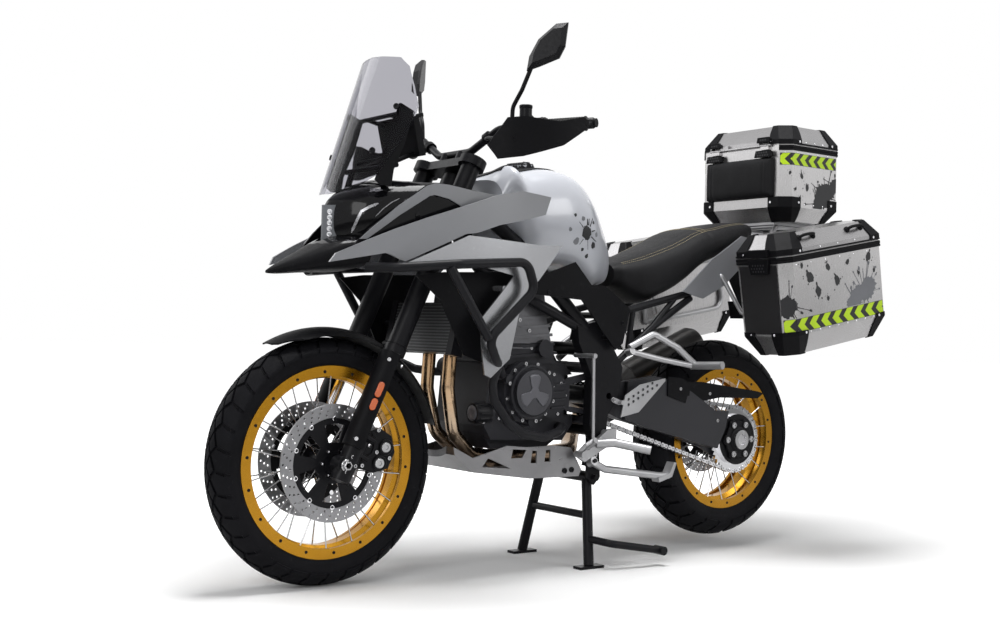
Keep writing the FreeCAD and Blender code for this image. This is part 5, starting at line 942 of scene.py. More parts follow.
def outward(obj, case):
    """Turns an open shell's faces away from the middle of its case."""
    u = (case.start + case.seam) / 2
    ring = case.ring(u)
    middle = case.point(sum(p[0] for p in ring) / len(ring), sum(p[1] for p in ring) / len(ring), u)
    work = bmesh.new()
    work.from_mesh(obj.data)
    wrong = [f for f in work.faces if f.normal.dot(f.calc_center_median() - middle) < 0]
    bmesh.ops.reverse_faces(work, faces=wrong)
    work.to_mesh(obj.data)
    work.free()


def belt(name, case, body, levels, item, skip=()):
    """A band round the case: levels are (height, how far it stands out)."""
    shape = Shape()
    count = len(case.ring(levels[0][0]))
    rows = [[case.point(a, y, u) for a, y in case.ring(u, g)] for u, g in levels]
    for i in range(count):
        if i in skip:
            continue
        j = (i + 1) % count
        points = [row[k] for row in rows for k in (i, j)]
        shape.mesh(points, [[2 * r, 2 * r + 1, 2 * r + 3, 2 * r + 2] for r in range(len(rows) - 1)])
    made = shape.piece(name, body, item, smooth=False)
    work = bmesh.new()
    work.from_mesh(made.data)
    bmesh.ops.remove_doubles(work, verts=work.verts, dist=0.00005)
    work.to_mesh(made.data)
    work.free()
    outward(made, case)
    return made


def rivets(name, case, body, rows, far_sides):
    """Small domes in rows along the outer side: rows are (height, first, last, step)."""
    shape = Shape()
    for far in far_sides:
        for u, first, last, step in rows:
            s = first
            while s <= last:
                at, tip = case.on_side(s, u, 0.1, far), case.on_side(s, u, 1.5, far)
                out = (tip - at).normalized()
                shape.lathe(at, out, [(0, 0.0028), (0.0006, 0.0026), (0.0012, 0.0016), (0.0015, 0.0005)], 12)
                s += step
    return shape.piece(name, body, CHROME)


def honeycomb(low, rise=0.0092, rows=1, reach=1):
    """The middles of a field of wells: reach wells to each side, with every other row shifted."""
    return [(a * 0.0105 + (0.005 if r % 2 else 0), low + r * rise)
            for r in range(rows) for a in range(-reach, reach + 1)]


def hex_plate(shape, place, across, up_axis, out, width, low, high, narrow, thick, holes):
    """A plate standing off a wall with a wider lower end and a field of six-sided wells whose floors are
    painted shade.
    """
    outline = [(-width / 2, low), (width / 2, low), (narrow / 2, high), (-narrow / 2, high)]
    points = [place + across * a + up_axis * b for a, b in outline]
    shape.prism(points, out * thick)
    for a, b in holes:
        at = place + across * a + up_axis * b + out * (thick + 0.0002)
        ring = shape.ring(at, out, 0.0042, 0.26, 6)
        inner = shape.ring(at - out * 0.0001, out, 0.0032, 0.26, 6)
        shape.mesh(ring + inner, [[i, (i + 1) % 6, 6 + (i + 1) % 6, 6 + i] for i in range(6)], 1)
        # Each well's floor is near-black: painted shade in place of the well's depth.
        shape.mesh(inner, [list(range(6))], 2)


def dress_top_box():
    """Caps, belts, graphics, rivets, hinge covers and the latch of the top box."""
    case = Case("top")
    corner_caps("top_box_corner_caps_low", case, "chassis", False)
    corner_caps("top_box_corner_caps_high", case, "top_lid", True)
    belt("top_box_belt", case, "chassis",
         [(1306, 0.3), (1307, 3.2), (1313, 3.2), (1314.5, 1.8), (1316, 3.2), (1323, 3.2), (1324, 0.3)], MATT,
         skip=(7,))
    belt("top_box_lid_belt", case, "top_lid", [(1327, 0.3), (1327.5, 3.0), (1332, 3.0), (1333, 0.3)], MATT,
         skip=(7,))
    for far, tag in ((False, "left"), (True, "right")):
        chevrons("top_box_chevrons_" + tag, case, 1258, 1298, 43, far, "chassis")
        splash("top_box_splash_" + tag, case, far, "chassis", 11,
               [(215, 1165, 42, 0, 16), (178, 1140, 30, 0, 8), (262, 1205, 24, 0, 6)],
               [(92, 1225, 7), (120, 1188, 8), (62, 1180, 5), (38, 1232, 4.5), (84, 1150, 6)], 1122, 1256)
    end = case.windows()[1][1]
    rivets("top_box_rivets", case, "chassis", [(1301.5, 20, end, 50), (1131, 62, end - 20, 46)],
           (False, True))
    rivets("top_box_lid_rivets", case, "top_lid", [(1337, 70, end - 20, 42)], (False, True))
    shape, lids = Shape(), Shape()
    across, tall, out = Vector((0, 1, 0)), Vector((0, 0, 1)), Vector((-1, 0, 0))
    for y in (-110, 110):
        place = P(case.first - 10, y, 0)
        hex_plate(shape, place, across, tall, out, 0.074, 1.286, 1.3085, 0.062, 0.007,
                  honeycomb(1.2925, 0.0090, 2, 2))
        hex_plate(lids, place, across, tall, out, 0.056, 1.3345, 1.352, 0.048, 0.007, honeycomb(1.343))
        shape.box(P(1580.5, y - 30, 1292), P(1589.9, y + 30, 1306))
        lids.box(P(1580.5, y - 24, 1341), P(1589.9, y + 24, 1348))
    shape.piece("top_box_hinge_covers", "chassis", MATT, SATIN, INK_AND_PAINTED_SHADE, bevel=0.0008, smooth=False)
    lids.piece("top_box_lid_hinge_covers", "top_lid", MATT, SATIN, INK_AND_PAINTED_SHADE, bevel=0.0008, smooth=False)
    latch = Shape()
    place = P(TOP_BOX_REAR + 0.3, 0, 0)
    hex_plate(latch, place, across, tall, -out, 0.11, 1.262, 1.318, 0.09, 0.014,
              honeycomb(1.276, rows=3, reach=3))
    latch.bolt(P(TOP_BOX_REAR + 14.3, 0, 1312), -out, 0.007, 0.003)
    latch.piece("top_box_latch", "chassis", MATT, SATIN, INK_AND_PAINTED_SHADE, bevel=0.0012, smooth=False)


def backrest():
    """A firm moulded pad with rounded ends and a row of shallow flutes at each side."""
    case_front = CASES["top"]["first"] - 0.4
    nu, nv = 60, 30
    width, height, depth, flute = 300.0, 134.0, 24.0, 1.1
    points = []
    for j in range(nv + 1):
        for i in range(nu + 1):
            a, b = -1 + 2 * i / nu, -1 + 2 * j / nv
            fall = max(0.0, 1 - max(abs(a) ** 16, abs(b) ** 8)) ** 0.5
            crown = 1 - 0.16 * a * a - 0.10 * b * b
            ripple = min(1.0, max(0.0, (abs(a) - 0.72) / 0.18)) * 4 * math.pi
            x = case_front - depth * fall * crown - (flute * math.cos(ripple) - flute) * fall
            round_off = 1 - 0.02 * max(0, abs(a) ** 8 + abs(b) ** 8 - 1)
            points.append(P(x, a * width / 2 * round_off, 1219 + b * height / 2 * round_off))
    w = nu + 1
    shape = Shape()
    shape.mesh(points, grid_faces(nv + 1, w))
    rim = list(range(w)) + [j * w + nu for j in range(1, nv + 1)]
    rim += [nv * w + i for i in range(nu - 1, -1, -1)] + [j * w for j in range(nv - 1, 0, -1)]
    shape.faces.append(rim)
    shape.kinds.append(0)
    made = shape.piece("top_box_backrest", "chassis", SEAT_COVER, smooth=True)
    return made


def dress_pannier(side):
    """The same trim for one side case, with its handles."""
    tag = side_name(side)
    lid = tag + "_lid"
    case = Case("side")

    def point(a, y, u):
        p = P(PANNIER_AT[0] + a * math.cos(TILT) - u * math.sin(TILT), 0,
              PANNIER_AT[1] + a * math.sin(TILT) + u * math.cos(TILT))
        return Vector((p.x, y * -side / 1000, p.z))

    case.point = point
    corner_caps("pannier_corner_caps_low_" + tag, case, "chassis", False, 44)
    corner_caps("pannier_corner_caps_high_" + tag, case, lid, True, 44)
    belt("pannier_belt_" + tag, case, "chassis",
         [(222, 0.3), (223, 3.2), (229, 3.2), (231, 1.8), (233, 3.2), (240, 3.2), (241, 0.3)], MATT, skip=(4,))
    belt("pannier_lid_belt_" + tag, case, lid, [(244, 0.3), (244.6, 3.0), (249, 3.0), (250, 0.3)], MATT,
         skip=(4,))
    chevrons("pannier_chevrons_" + tag, case, 8, 50, 54, False, "chassis")
    splash("pannier_splash_" + tag, case, False, "chassis", 23,
           [(372, 82, 44, 1, 14), (318, 70, 28, 1, 8), (26, 92, 34, 0, 10)],
           [(118, 168, 15), (152, 120, 13), (205, 188, 9), (244, 142, 11), (84, 208, 6), (300, 192, 7),
            (404, 196, 10), (428, 150, 6), (196, 92, 6), (350, 152, 5)], 52, 219)
    end = case.windows()[1][1]
    rivets("pannier_rivets_" + tag, case, "chassis", [(214, 60, end - 20, 68), (3.5, 60, end, 44)], (False,))
    rivets("pannier_lid_rivets_" + tag, case, lid, [(256, 92, end - 30, 84)], (False,))
    sheet, shape, upper = Shape(), Shape(), Shape()
    c = case.corner
    outline = [(-PANNIER_INNER - 6, 6), (-PANNIER_INNER - 6, 218), (-(case.outer(218) - c - 4), 218),
               (-(case.outer(6) - c - 4), 6)]
    sheet.prism([point(-0.1, y, u) for y, u in outline], point(-0.7, -300, 100) - point(0, -300, 100))
    sheet.piece("pannier_front_sheet_" + tag, "chassis", DARK_SHEET, smooth=False)
    across = Vector((0, 1, 0))
    tall = (point(0, -300, 1) - point(0, -300, 0)) * 1000
    ahead_out = (point(-1, -300, 0) - point(0, -300, 0)) * 1000
    for a_face, direction in ((0, ahead_out), (case.length, -ahead_out)):
        place = point(a_face, -345, 0)
        hex_plate(shape, place, across, tall, direction, 0.066, 0.192, 0.240, 0.086, 0.013,
                  honeycomb(0.202, rows=3, reach=2))
        hex_plate(upper, place, across, tall, direction, 0.086, 0.2445, 0.268, 0.080, 0.015, ())
    shape.piece("pannier_latches_" + tag, "chassis", MATT, SATIN, INK_AND_PAINTED_SHADE, bevel=0.0012, smooth=False)
    upper.piece("pannier_lid_catches_" + tag, lid, MATT, SATIN, INK_AND_PAINTED_SHADE, bevel=0.0016, smooth=False)
    for k, along in enumerate((120, 350)):
        points = []
        for da, up_by in ((-32, -2), (-30, 13), (-16, 17), (0, 17.5), (16, 17), (30, 13), (32, -2)):
            points.append(point(along + da, -case.outer(290) - up_by * 0.84, 290 + up_by * 0.54))
        pipe("pannier_lid_handle_%s_%d" % (tag, k), points, 0.0048, lid, MATT)
        feet = Shape()
        for da in (-32, 32):
            at = point(along + da, -case.outer(290) + 0.5, 290)
            tip = point(along + da, -case.outer(290) - 0.84, 290.54)
            feet.lathe(at, tip - at, [(0, 0.0105), (0.004, 0.0100), (0.007, 0.0065)], 20)
        feet.piece("pannier_lid_handle_feet_%s_%d" % (tag, k), lid, MATT)


dress_top_box()
backrest()
for which in (-1, 1):
    dress_pannier(which)


# The seat: one padded cover over both places, with seams, stitches and flutes

# Station, half width, underside and top along the seat
SEAT = ((968, 80, 832, 905), (1060, 120, 784, 936), (1130, 138, 806, 962), (1200, 146, 842, 990),
        (1290, 146, 904, 1028), (1360, 146, 936, 1044), (1420, 137, 970, 1056), (1490, 125, 990, 1066),
        (1544, 110, 1006, 1068))
SEAM_ACROSS, SEAM_HALF, SEAM_DEPTH = 0.70, 0.05, 2.0
STEP_AT = 1312                          # station of the step between the two places


def seat_at(x):
    """Half width, underside and top of the seat at a station, on a smooth line through the list."""
    rows = [SEAT[0]] + list(SEAT) + [SEAT[-1]]
    k = max(i for i in range(1, len(rows) - 2) if rows[i][0] <= max(x, SEAT[0][0]))
    t = min(1.0, (x - rows[k][0]) / max(1, rows[k + 1][0] - rows[k][0]))
    out = []
    for c in (1, 2, 3):
        a, b, d, e = rows[k - 1][c], rows[k][c], rows[k + 1][c], rows[k + 2][c]
        out.append(b + 0.5 * t * (d - a + t * (2 * a - 5 * b + 4 * d - e + t * (3 * (b - d) + e - a))))
    return out


def groove(across):
    """How deep the seam along the seat lies at a share of its half width, in millimetres."""
    return SEAM_DEPTH * max(0.0, 1 - abs(abs(across) - SEAM_ACROSS) / SEAM_HALF)


def seat_piece():
    """One cover with a seam along each edge, flutes across both places and a step between them."""
    first, last, rings, count = SEAT[0][0], SEAT[-1][0], 118, 96
    points = []
    for r in range(rings + 1):
        s = r / rings
        x = first + (last - first) * s
        half, low, high = seat_at(x)
        close = min(1.0, 0.80 + 0.20 * min(s, 1 - s) / 0.035) if min(s, 1 - s) < 0.035 else 1.0
        for i in range(count):
            a = 2 * math.pi * i / count
            c, d = math.cos(a), math.sin(a)
            y = math.copysign(abs(c) ** 0.62, c) * half * close
            up = 0.5 + 0.5 * math.copysign(abs(d) ** 0.66, d)
            across = y / half
            crown = 0.93 + 0.07 * (1 - across * across) if d > 0 else 1.0
            z = low + (high - low) * up * crown * (0.96 + 0.04 * close)
            if d > 0.25:
                fluted = abs(across) < 0.66 and (1130 < x < 1290 or 1330 < x < 1510)
                flute = abs((abs(across) * 6.0) % 1.0 - 0.5) if fluted else 0.5
                z -= 2.2 * max(0.0, 1 - flute / 0.22) * min(1.0, (d - 0.25) / 0.2)
            if d > 0.2:
                z -= groove(across)
            step = abs(x - STEP_AT)
            if step < 12 and d > 0:
                z -= 3.0 * (1 - step / 12)
            points.append(P(x, y, z))
    faces = tube_faces(rings + 1, count)
    faces += [list(range(count))[::-1], [rings * count + i for i in range(count)]]
    shape = Shape()
    shape.mesh(points, faces)
    made = shape.piece("saddle", "chassis", SEAT_COVER)
    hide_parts("seat")


def saddle_line(across, start, stop, gap=5.0, lift=0.4):
    """Points on top of the seat at one share of its width."""
    out = []
    x = start
    while x <= stop:
        half, low, high = seat_at(x)
        d = (1 - abs(across) ** (2 / 0.62)) ** 0.5
        z = low + (high - low) * (0.5 + 0.5 * d ** 0.66) * (0.93 + 0.07 * (1 - across * across))
        out.append(P(x, across * half, z - groove(across) + lift))
        x += gap
    return out


def stitches():
    """Threads on both sides of each seam, and across the step."""
    shape = Shape()
    for across in (-0.745, 0.745, -0.655, 0.655):
        line = saddle_line(across, 1000, 1520, 6.2, 0.3)
        for a, b in zip(line, line[1:]):
            shape.drum(a, a.lerp(b, 0.62), 0.00065, 6)
    for x in (STEP_AT - 8, STEP_AT + 8):
        line = [saddle_line(a / 40, x, x + 1)[0] for a in range(-30, 31)]
        for a, b in zip(line, line[1:]):
            shape.drum(a, a.lerp(b, 0.62), 0.00065, 6)
    shape.piece("seat_stitching", "chassis", THREAD)


seat_piece()
stitches()


# Fork, guards, reflectors and brakes


RAKE = math.radians(24.5)
LEG_BEHIND, LEG_ACROSS = 13, 112        # each leg's line, from the axle's line and from the middle
CALIPER_FACE = 84


def fork_point(along, behind, y):
    """A point by its way up the fork from the axle, its distance behind that line and its place across."""
    return P(along * math.sin(RAKE) + behind * math.cos(RAKE), y,
             FRONT_HEIGHT + along * math.cos(RAKE) - behind * math.sin(RAKE))


def leg_point(along, side):
    return fork_point(along, LEG_BEHIND, side * LEG_ACROSS)


FORK_UP = (fork_point(100, 0, 0) - fork_point(0, 0, 0)).normalized()
FORK_BACK = (fork_point(0, 100, 0) - fork_point(0, 0, 0)).normalized()


def on_slider(c, n):
    """True on the bright lower tubes, between the feet and the upper legs."""
    across = abs(c.y) - LEG_ACROSS / 1000
    spot = c - fork_point(0, LEG_BEHIND, 0)
    near_line = spot.dot(FORK_BACK) ** 2 + across ** 2 < 0.0225 ** 2
    return near_line and 0.05 < spot.dot(FORK_UP) < 0.3302 and abs(n.dot(FORK_UP)) < 0.5


def capsule(length, width, count=10):
    """A rounded bar's outline, lengthwise."""
    r = width / 2
    top = [(r * math.cos(math.pi * i / count),
            length / 2 - r + r * math.sin(math.pi * i / count)) for i in range(count + 1)]
    return top + [(-a, -b) for a, b in top]


def reflectors():
    """Two amber bars in their shells on each fork leg; the bars glow faintly with painted light."""
    for side in (-1, 1):
        lens, shell = Shape(), Shape()
        for along, length in ((214, 44), (172, 34)):
            out = (FORK_BACK * -0.45 + Vector((0, side, 0)) * 0.9).normalized()
            across = FORK_UP.cross(out)
            base = leg_point(along, side) + out * 0.0352
            for shape, grow, start, tall in ((shell, 4, 0, 0.0035), (lens, 0, 0.0035, 0.0028)):
                outline = [base + out * start + across * (a / 1000) + FORK_UP * (b / 1000)
                           for a, b in capsule(length + grow, 17 + grow)]
                shape.prism(outline, out * tall, taper=0.9)
        lens.piece("reflector_lens_" + side_name(side), "steering", AMBER, bevel=0.0008)
        shell.piece("reflector_shell_" + side_name(side), "steering", MATT, bevel=0.0006)


def fork_details():
    """Guard bolts and the seals at the top of the bright tubes."""
    bolts, parts = Shape(), Shape()
    for side in (-1, 1):
        out = Vector((0, side, 0))
        for along, behind in ((-16, 4), (8, 22), (26, 4)):
            bolts.bolt(fork_point(along, behind, side * 134.2), out, 0.0052, 0.004)
        for along in (335, 341, 347):
            parts.lathe(leg_point(along, side), FORK_UP,
                        [(0, 0.0272), (0.001, 0.0284), (0.003, 0.0284), (0.004, 0.0272)], 36)
        for along in (72, 298):
            for turn in (-1, 1):
                tip = FORK_BACK * (turn * 0.6) + out * 0.8
                bolts.bolt(leg_point(along, side) + tip.normalized() * 0.0358, tip, 0.0055, 0.0035)
    bolts.piece("fork_guard_bolts", "steering", STEEL)
    parts.piece("fork_seals", "steering", SATIN)


def caliper_details():
    """Piston covers, bolts, a raised rib and the pads of both front calipers."""
    for side in (-1, 1):
        tag = side_name(side)
        out = Vector((0, side, 0))
        shape, bright = Shape(), Shape()
        for behind, along in ((118, 50), (118, 96)):
            centre = fork_point(along, behind, side * CALIPER_FACE)
            shape.lathe(centre - out * 0.004, out,
                        [(0, 0.0215), (0.007, 0.0215), (0.0095, 0.0195), (0.0095, 0.015), (0.0075, 0.0145)],
                        36)
            bright.lathe(centre, out, [(0.001, 0.0140), (0.0045, 0.0140), (0.006, 0.0125), (0.006, 0.006),
                                       (0.004, 0.005)], 30)
        for behind, along in ((70, 24), (140, 74), (76, 128), (96, 73)):
            bright.bolt(fork_point(along, behind, side * CALIPER_FACE), out, 0.0058, 0.0045)
        rib = [fork_point(a, b, side * (CALIPER_FACE + 0.2)) for b, a in
               ((60, 40), (66, 34), (94, 60), (94, 86), (70, 118), (62, 114), (82, 82), (82, 64))]
        shape.prism(rib, out * 0.003)
        shape.piece("caliper_covers_" + tag, "steering", SATIN, bevel=0.0008)
        bright.piece("caliper_bolts_" + tag, "steering", STEEL)
        pads = Shape()
        for behind, along in ((112, 50), (112, 96)):
            for y in (55.6, 66.7):
                centre = fork_point(along, behind, side * y)
                pads.prism([centre + FORK_BACK * (a / 1000) + FORK_UP * (b / 1000) + out * -0.0012
                            for a, b in ((-20, -16), (16, -18), (16, 18), (-20, 16))], out * 0.0024)
        pads.piece("brake_pads_" + tag, "steering", BRAKE_PAD)


def front_axle_ends():
    """A six-sided nut and a washer at each end of the front axle."""
    shape = Shape()
    for side in (-1, 1):
        at = FRONT_AXLE + Vector((0, side * 0.141, 0))
        shape.lathe(at, (0, side, 0), [(-0.004, 0.0125), (0.0012, 0.0125), (0.0020, 0.0115), (0.0020, 0.0085),
                                       (-0.003, 0.008)], 6)
        shape.lathe(at, (0, side, 0), [(-0.010, 0.0165), (-0.0062, 0.0165), (-0.0052, 0.0155)], 36)
    shape.piece("front_axle_nuts", "steering", STEEL)


paint("fork", SATIN, (on_slider, CHROME))
reflectors()
fork_details()
caliper_details()
front_axle_ends()


# Seating small pieces on the CAD's surfaces


def touch(node, at, direction):
    """Where a line from a point first meets a CAD node, and the surface's direction there."""
    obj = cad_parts[node]
    direction = Vector(direction).normalized()
    hit, place, normal, _ = obj.ray_cast(Vector(at), direction)
    if not hit:
        return None, None
    if normal.dot(direction) > 0:
        normal = -normal
    return place, normal


def seat_bolts(name, node, spots, radius, height, item=STEEL, y=-300, both=False):
    """Socket heads where level lines through the spots (station, height) first meet the node, seen from y."""
    shape = Shape()
    for x, z in spots:
        for side in ((1, -1) if both else (1,)):
            aim = Vector((0, -side * math.copysign(1, y), 0))
            at, normal = touch(node, P(x, y * side, z) - aim * 0.6, aim)
            if at is not None:
                shape.bolt(at - normal * 0.0004, normal, radius, height)
    shape.piece(name, "chassis", item)


def drape(name, body, node, outline, thick, item, cells, lift=0.0002):
    """A skin on top of a node: outline(u, v) gives a spot above it for u and v from 0 to 1."""
    nu, nv = cells
    grid, normals = {}, {}
    for i in range(nu + 1):
        for j in range(nv + 1):
            at, normal = touch(node, P(*outline(i / nu, j / nv)) + Vector((0, 0, 0.5)), (0, 0, -1))
            if at is not None:
                grid[i, j], normals[i, j] = at, normal

    def corners(i, j):
        return (i, j), (i + 1, j), (i + 1, j + 1), (i, j + 1)

    inside = [(i, j) for i in range(nu) for j in range(nv) if all(q in grid for q in corners(i, j))]
    keys = sorted({q for cell in inside for q in corners(*cell)})
    number = {q: k for k, q in enumerate(keys)}
    total = len(keys)
    points = [grid[q] + normals[q] * rise for rise in (lift, lift + thick) for q in keys]
    faces, edges = [], {}
    for cell in inside:
        loop = [number[q] for q in corners(*cell)]
        faces += [loop[::-1], [k + total for k in loop]]
        for a, b in zip(loop, loop[1:] + loop[:1]):
            edges[frozenset((a, b))] = None if frozenset((a, b)) in edges else (a, b)
    faces += [[a, b, b + total, a + total] for pair in edges.values() if pair for a, b in (pair,)]
    shape = Shape()
    shape.mesh(points, faces)
    shape.piece(name, body, item)


def lay(shape, node, loop, aim, lift, kind=0):
    """A flat blot laid on a curved surface: a fan around its middle, each corner seated on the node."""
    middle = sum(loop, Vector()) / len(loop)
    points = []
    for p in [middle] + loop:
        at, normal = touch(node, p - aim * 0.5, aim)
        if at is None:
            return
        points.append(at + normal * lift)
    if any((p - points[0]).length > 0.09 for p in points[1:]):
        return
    half = [points[0].lerp(p, 0.5) for p in points[1:]]
    ring = []
    for p in half:
        at, normal = touch(node, p - aim * 0.3, aim)
        ring.append(at + normal * lift if at is not None else p)
    count = len(loop)
    faces = [[0, 1 + i, 1 + (i + 1) % count] for i in range(count)]
    faces += [[1 + i, 1 + count + i, 1 + count + (i + 1) % count, 1 + (i + 1) % count] for i in range(count)]
    shape.mesh([points[0]] + ring + points[1:], faces, kind)


# Final drive: the chain's links and the sprocket carrier

PITCH_CHAIN = 15.875
FRONT_SPROCKET_AT = (765, 505)
FRONT_TEETH, REAR_TEETH = 15, 41
CHAIN_LOW, CHAIN_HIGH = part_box("drive_chain")
CHAIN_MID = (CHAIN_LOW[1] + CHAIN_HIGH[1]) / 2


def pitch_circle(teeth):
    """The radius of a sprocket's pins, in metres."""
    return PITCH_CHAIN / 1000 / 2 / math.sin(math.pi / teeth)


def chain_path():
    """The closed line of the chain's pins round both sprockets."""
    small, big = pitch_circle(FRONT_TEETH), pitch_circle(REAR_TEETH)
    front = P(FRONT_SPROCKET_AT[0], 0, FRONT_SPROCKET_AT[1]).xz
    rear = REAR_AXLE.xz
    u = (rear - front).normalized()
    v = Vector((-u.y, u.x))
    d = (rear - front).length
    k = (big - small) / d
    high, low = -k * u + math.sqrt(1 - k * k) * v, -k * u - math.sqrt(1 - k * k) * v
    line = []

    def arc(centre, radius, first, sweep):
        steps = max(8, int(abs(sweep) * radius / 0.002))
        a = math.atan2(first.y, first.x)
        line.extend(centre + Vector((math.cos(a + sweep * i / steps),
                                     math.sin(a + sweep * i / steps))) * radius
                    for i in range(steps + 1))

    around = math.acos(max(-1, min(1, high.dot(low))))
    arc(rear, big, high, -(2 * math.pi - around))
    arc(front, small, low, -around)
    return line


def chain_links():
    """Link plates, rollers and pins round both sprockets, in place of the plain chain."""
    line = chain_path()
    line.append(line[0])
    lengths = [0.0]
    for a, b in zip(line, line[1:]):
        lengths.append(lengths[-1] + (b - a).length)
    count = round(lengths[-1] / (PITCH_CHAIN / 1000) / 2) * 2
    pins, k = [], 0
    for i in range(count):
        want = lengths[-1] * i / count
        while lengths[k + 1] < want:
            k += 1
        t = (want - lengths[k]) / (lengths[k + 1] - lengths[k])
        pins.append(line[k].lerp(line[k + 1], t))
    plates, inner, rollers = Shape(), Shape(), Shape()
    for i in range(count):
        a, b = pins[i], pins[(i + 1) % count]
        along = (b - a).normalized()
        n = Vector((-along.y, along.x))
        outer = i % 2 == 0
        r, waist = (0.0068, 0.0047) if outer else (0.0066, 0.0050)
        outline = []
        for end, sign in ((b, 1), (a, -1)):
            for s in range(7):
                q = -math.pi * 0.42 + math.pi * 0.84 * s / 6
                outline.append(end + along * (sign * r * math.cos(q)) + n * (sign * r * math.sin(q)))
            outline.append(a.lerp(b, 0.5) + n * (sign * waist))
        for side in (-1, 1):
            y = CHAIN_MID + side * (0.0088 if outer else 0.0066)
            shape = plates if outer else inner
            shape.prism([(p.x, y - 0.0009, p.y) for p in outline], (0, 0.0018, 0))
        rollers.drum((a.x, CHAIN_MID - 0.0056, a.y), (a.x, CHAIN_MID + 0.0056, a.y), 0.0050, 12)
        rollers.drum((a.x, CHAIN_MID - 0.0113, a.y), (a.x, CHAIN_MID + 0.0113, a.y), 0.0025, 10)
    made = [plates.piece("chain_outer_plates", "chassis", CHROME),
            inner.piece("chain_inner_plates", "chassis", DARK_LINK),
            rollers.piece("chain_rollers_and_pins", "chassis", STEEL)]
    for item in made:
        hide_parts("drive_chain")


def sprocket_carrier():
    """The lobed carrier, its nuts and the axle's lock ring."""
    centre = REAR_AXLE
    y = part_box("rear_sprocket")[0][1]
    shape, bright, ring = Shape(), Shape(), Shape()
    out = Vector((0, -1, 0))
    at = Vector((centre.x, y, centre.z))
    rim = []
    for i in range(120):
        a = 2 * math.pi * i / 120
        r = 0.0600 + 0.0105 * max(0.0, math.cos(6 * a)) ** 0.6
        rim.append(at + Vector((math.cos(a) * r, 0.001, math.sin(a) * r)))
    shape.prism(rim, out * 0.0042, taper=0.97)
    shape.lathe(at, out, [(0.001, 0.040), (0.0055, 0.040), (0.0075, 0.037), (0.0075, 0.030), (0.001, 0.030)],
                48)
    for k in range(6):
        a = math.pi / 3 * k
        spot = at + Vector((math.cos(a) * 0.054, 0, math.sin(a) * 0.054))
        shape.lathe(spot, out, [(0.001, 0.0125), (0.0058, 0.0120), (0.0065, 0.0108)], 24)
        bright.lathe(spot, out, [(0.004, 0.0082), (0.0100, 0.0082), (0.0110, 0.0072), (0.0110, 0.0044),
                                 (0.0085, 0.0044)], 6)
        bright.lathe(spot, out, [(0.004, 0.0098), (0.0074, 0.0098)], 24)
    teeth = []
    for i in range(144):
        a = 2 * math.pi * i / 144
        r = 0.0292 if i % 6 < 3 else 0.0268
        teeth.append(at + Vector((math.cos(a) * r, -0.004, math.sin(a) * r)))
    ring.prism(teeth, out * 0.0075)
    shape.piece("sprocket_carrier", "rear_wheel", SATIN, bevel=0.0006)
    bright.piece("sprocket_nuts", "rear_wheel", STEEL)
    ring.piece("sprocket_lock_ring", "rear_wheel", CHROME)


chain_links()
sprocket_carrier()
seat_bolts("chain_guard_bolts", "chain_guard", [(1180, 522), (1330, 505)], 0.0055, 0.003)
seat_bolts("swingarm_bolts", "swingarm", [(1330, 330), (1352, 420)], 0.0060, 0.0035, both=True)


# Engine: cover shapes, bolts, the oil filter and the ribs of the cylinders


COVER_AT, CLUTCH_AT = (588, 515), (680, 497)     # station and height of the round covers' middles


def ring_spots(centre, radius, first, step):
    """Places on a circle round a cover's middle, for its bolts; angles in degrees."""
    return [(centre[0] + radius * math.cos(math.radians(a)), centre[1] + radius * math.sin(math.radians(a)))
            for a in range(first, first + 360, step)]


def lobed_cover():
    """The raised three-armed shape on the generator cover."""
    shape = Shape()
    outline = []
    for k in range(3):
        a = math.radians(90 + 120 * k)
        d, n = Vector((math.cos(a), math.sin(a))), Vector((-math.sin(a), math.cos(a)))
        for along, across in ((13, -11), (30, -17), (46, -20), (52, -12), (53, 0), (52, 12), (46, 20),
                              (30, 17), (13, 11)):
            outline.append(d * along + n * across)
    shape.prism([P(COVER_AT[0] + p.x, -166.2, COVER_AT[1] + p.y) for p in outline], (0, -0.0030, 0),
                taper=0.93)
    shape.piece("generator_cover_shape", "chassis", COVER_LIGHT, bevel=0.0012)
    rim = Shape()
    rim.lathe(P(COVER_AT[0], -156, COVER_AT[1]), (0, -1, 0),
              [(-0.001, 0.0770), (0.0016, 0.0770), (0.0022, 0.0755), (0.0022, 0.0725),
               (0.0012, 0.0705), (-0.001, 0.0705)], 72)
    rim.piece("generator_cover_bead", "chassis", CASE)


def case_bolts():
    """Bolts round the engine's covers and along its joints."""
    seat_bolts("generator_cover_bolts", "engine", ring_spots(COVER_AT, 83, 12, 30), 0.0056, 0.0042)
    spots = [(640, 590), (668, 566), (700, 540), (725, 505), (722, 462), (690, 452), (655, 436), (505, 440),
             (480, 500), (490, 570), (530, 620), (610, 640), (450, 430), (560, 420)]
    seat_bolts("crankcase_bolts_left", "engine", spots, 0.0050, 0.0040)
    seat_bolts("clutch_cover_bolts", "engine", ring_spots(CLUTCH_AT, 80, 0, 36), 0.0056, 0.0042, y=300)
    spots = [(500, 730), (560, 720), (480, 790), (545, 800), (470, 680), (600, 690)]
    seat_bolts("head_bolts", "engine", spots, 0.0058, 0.0045, both=True)


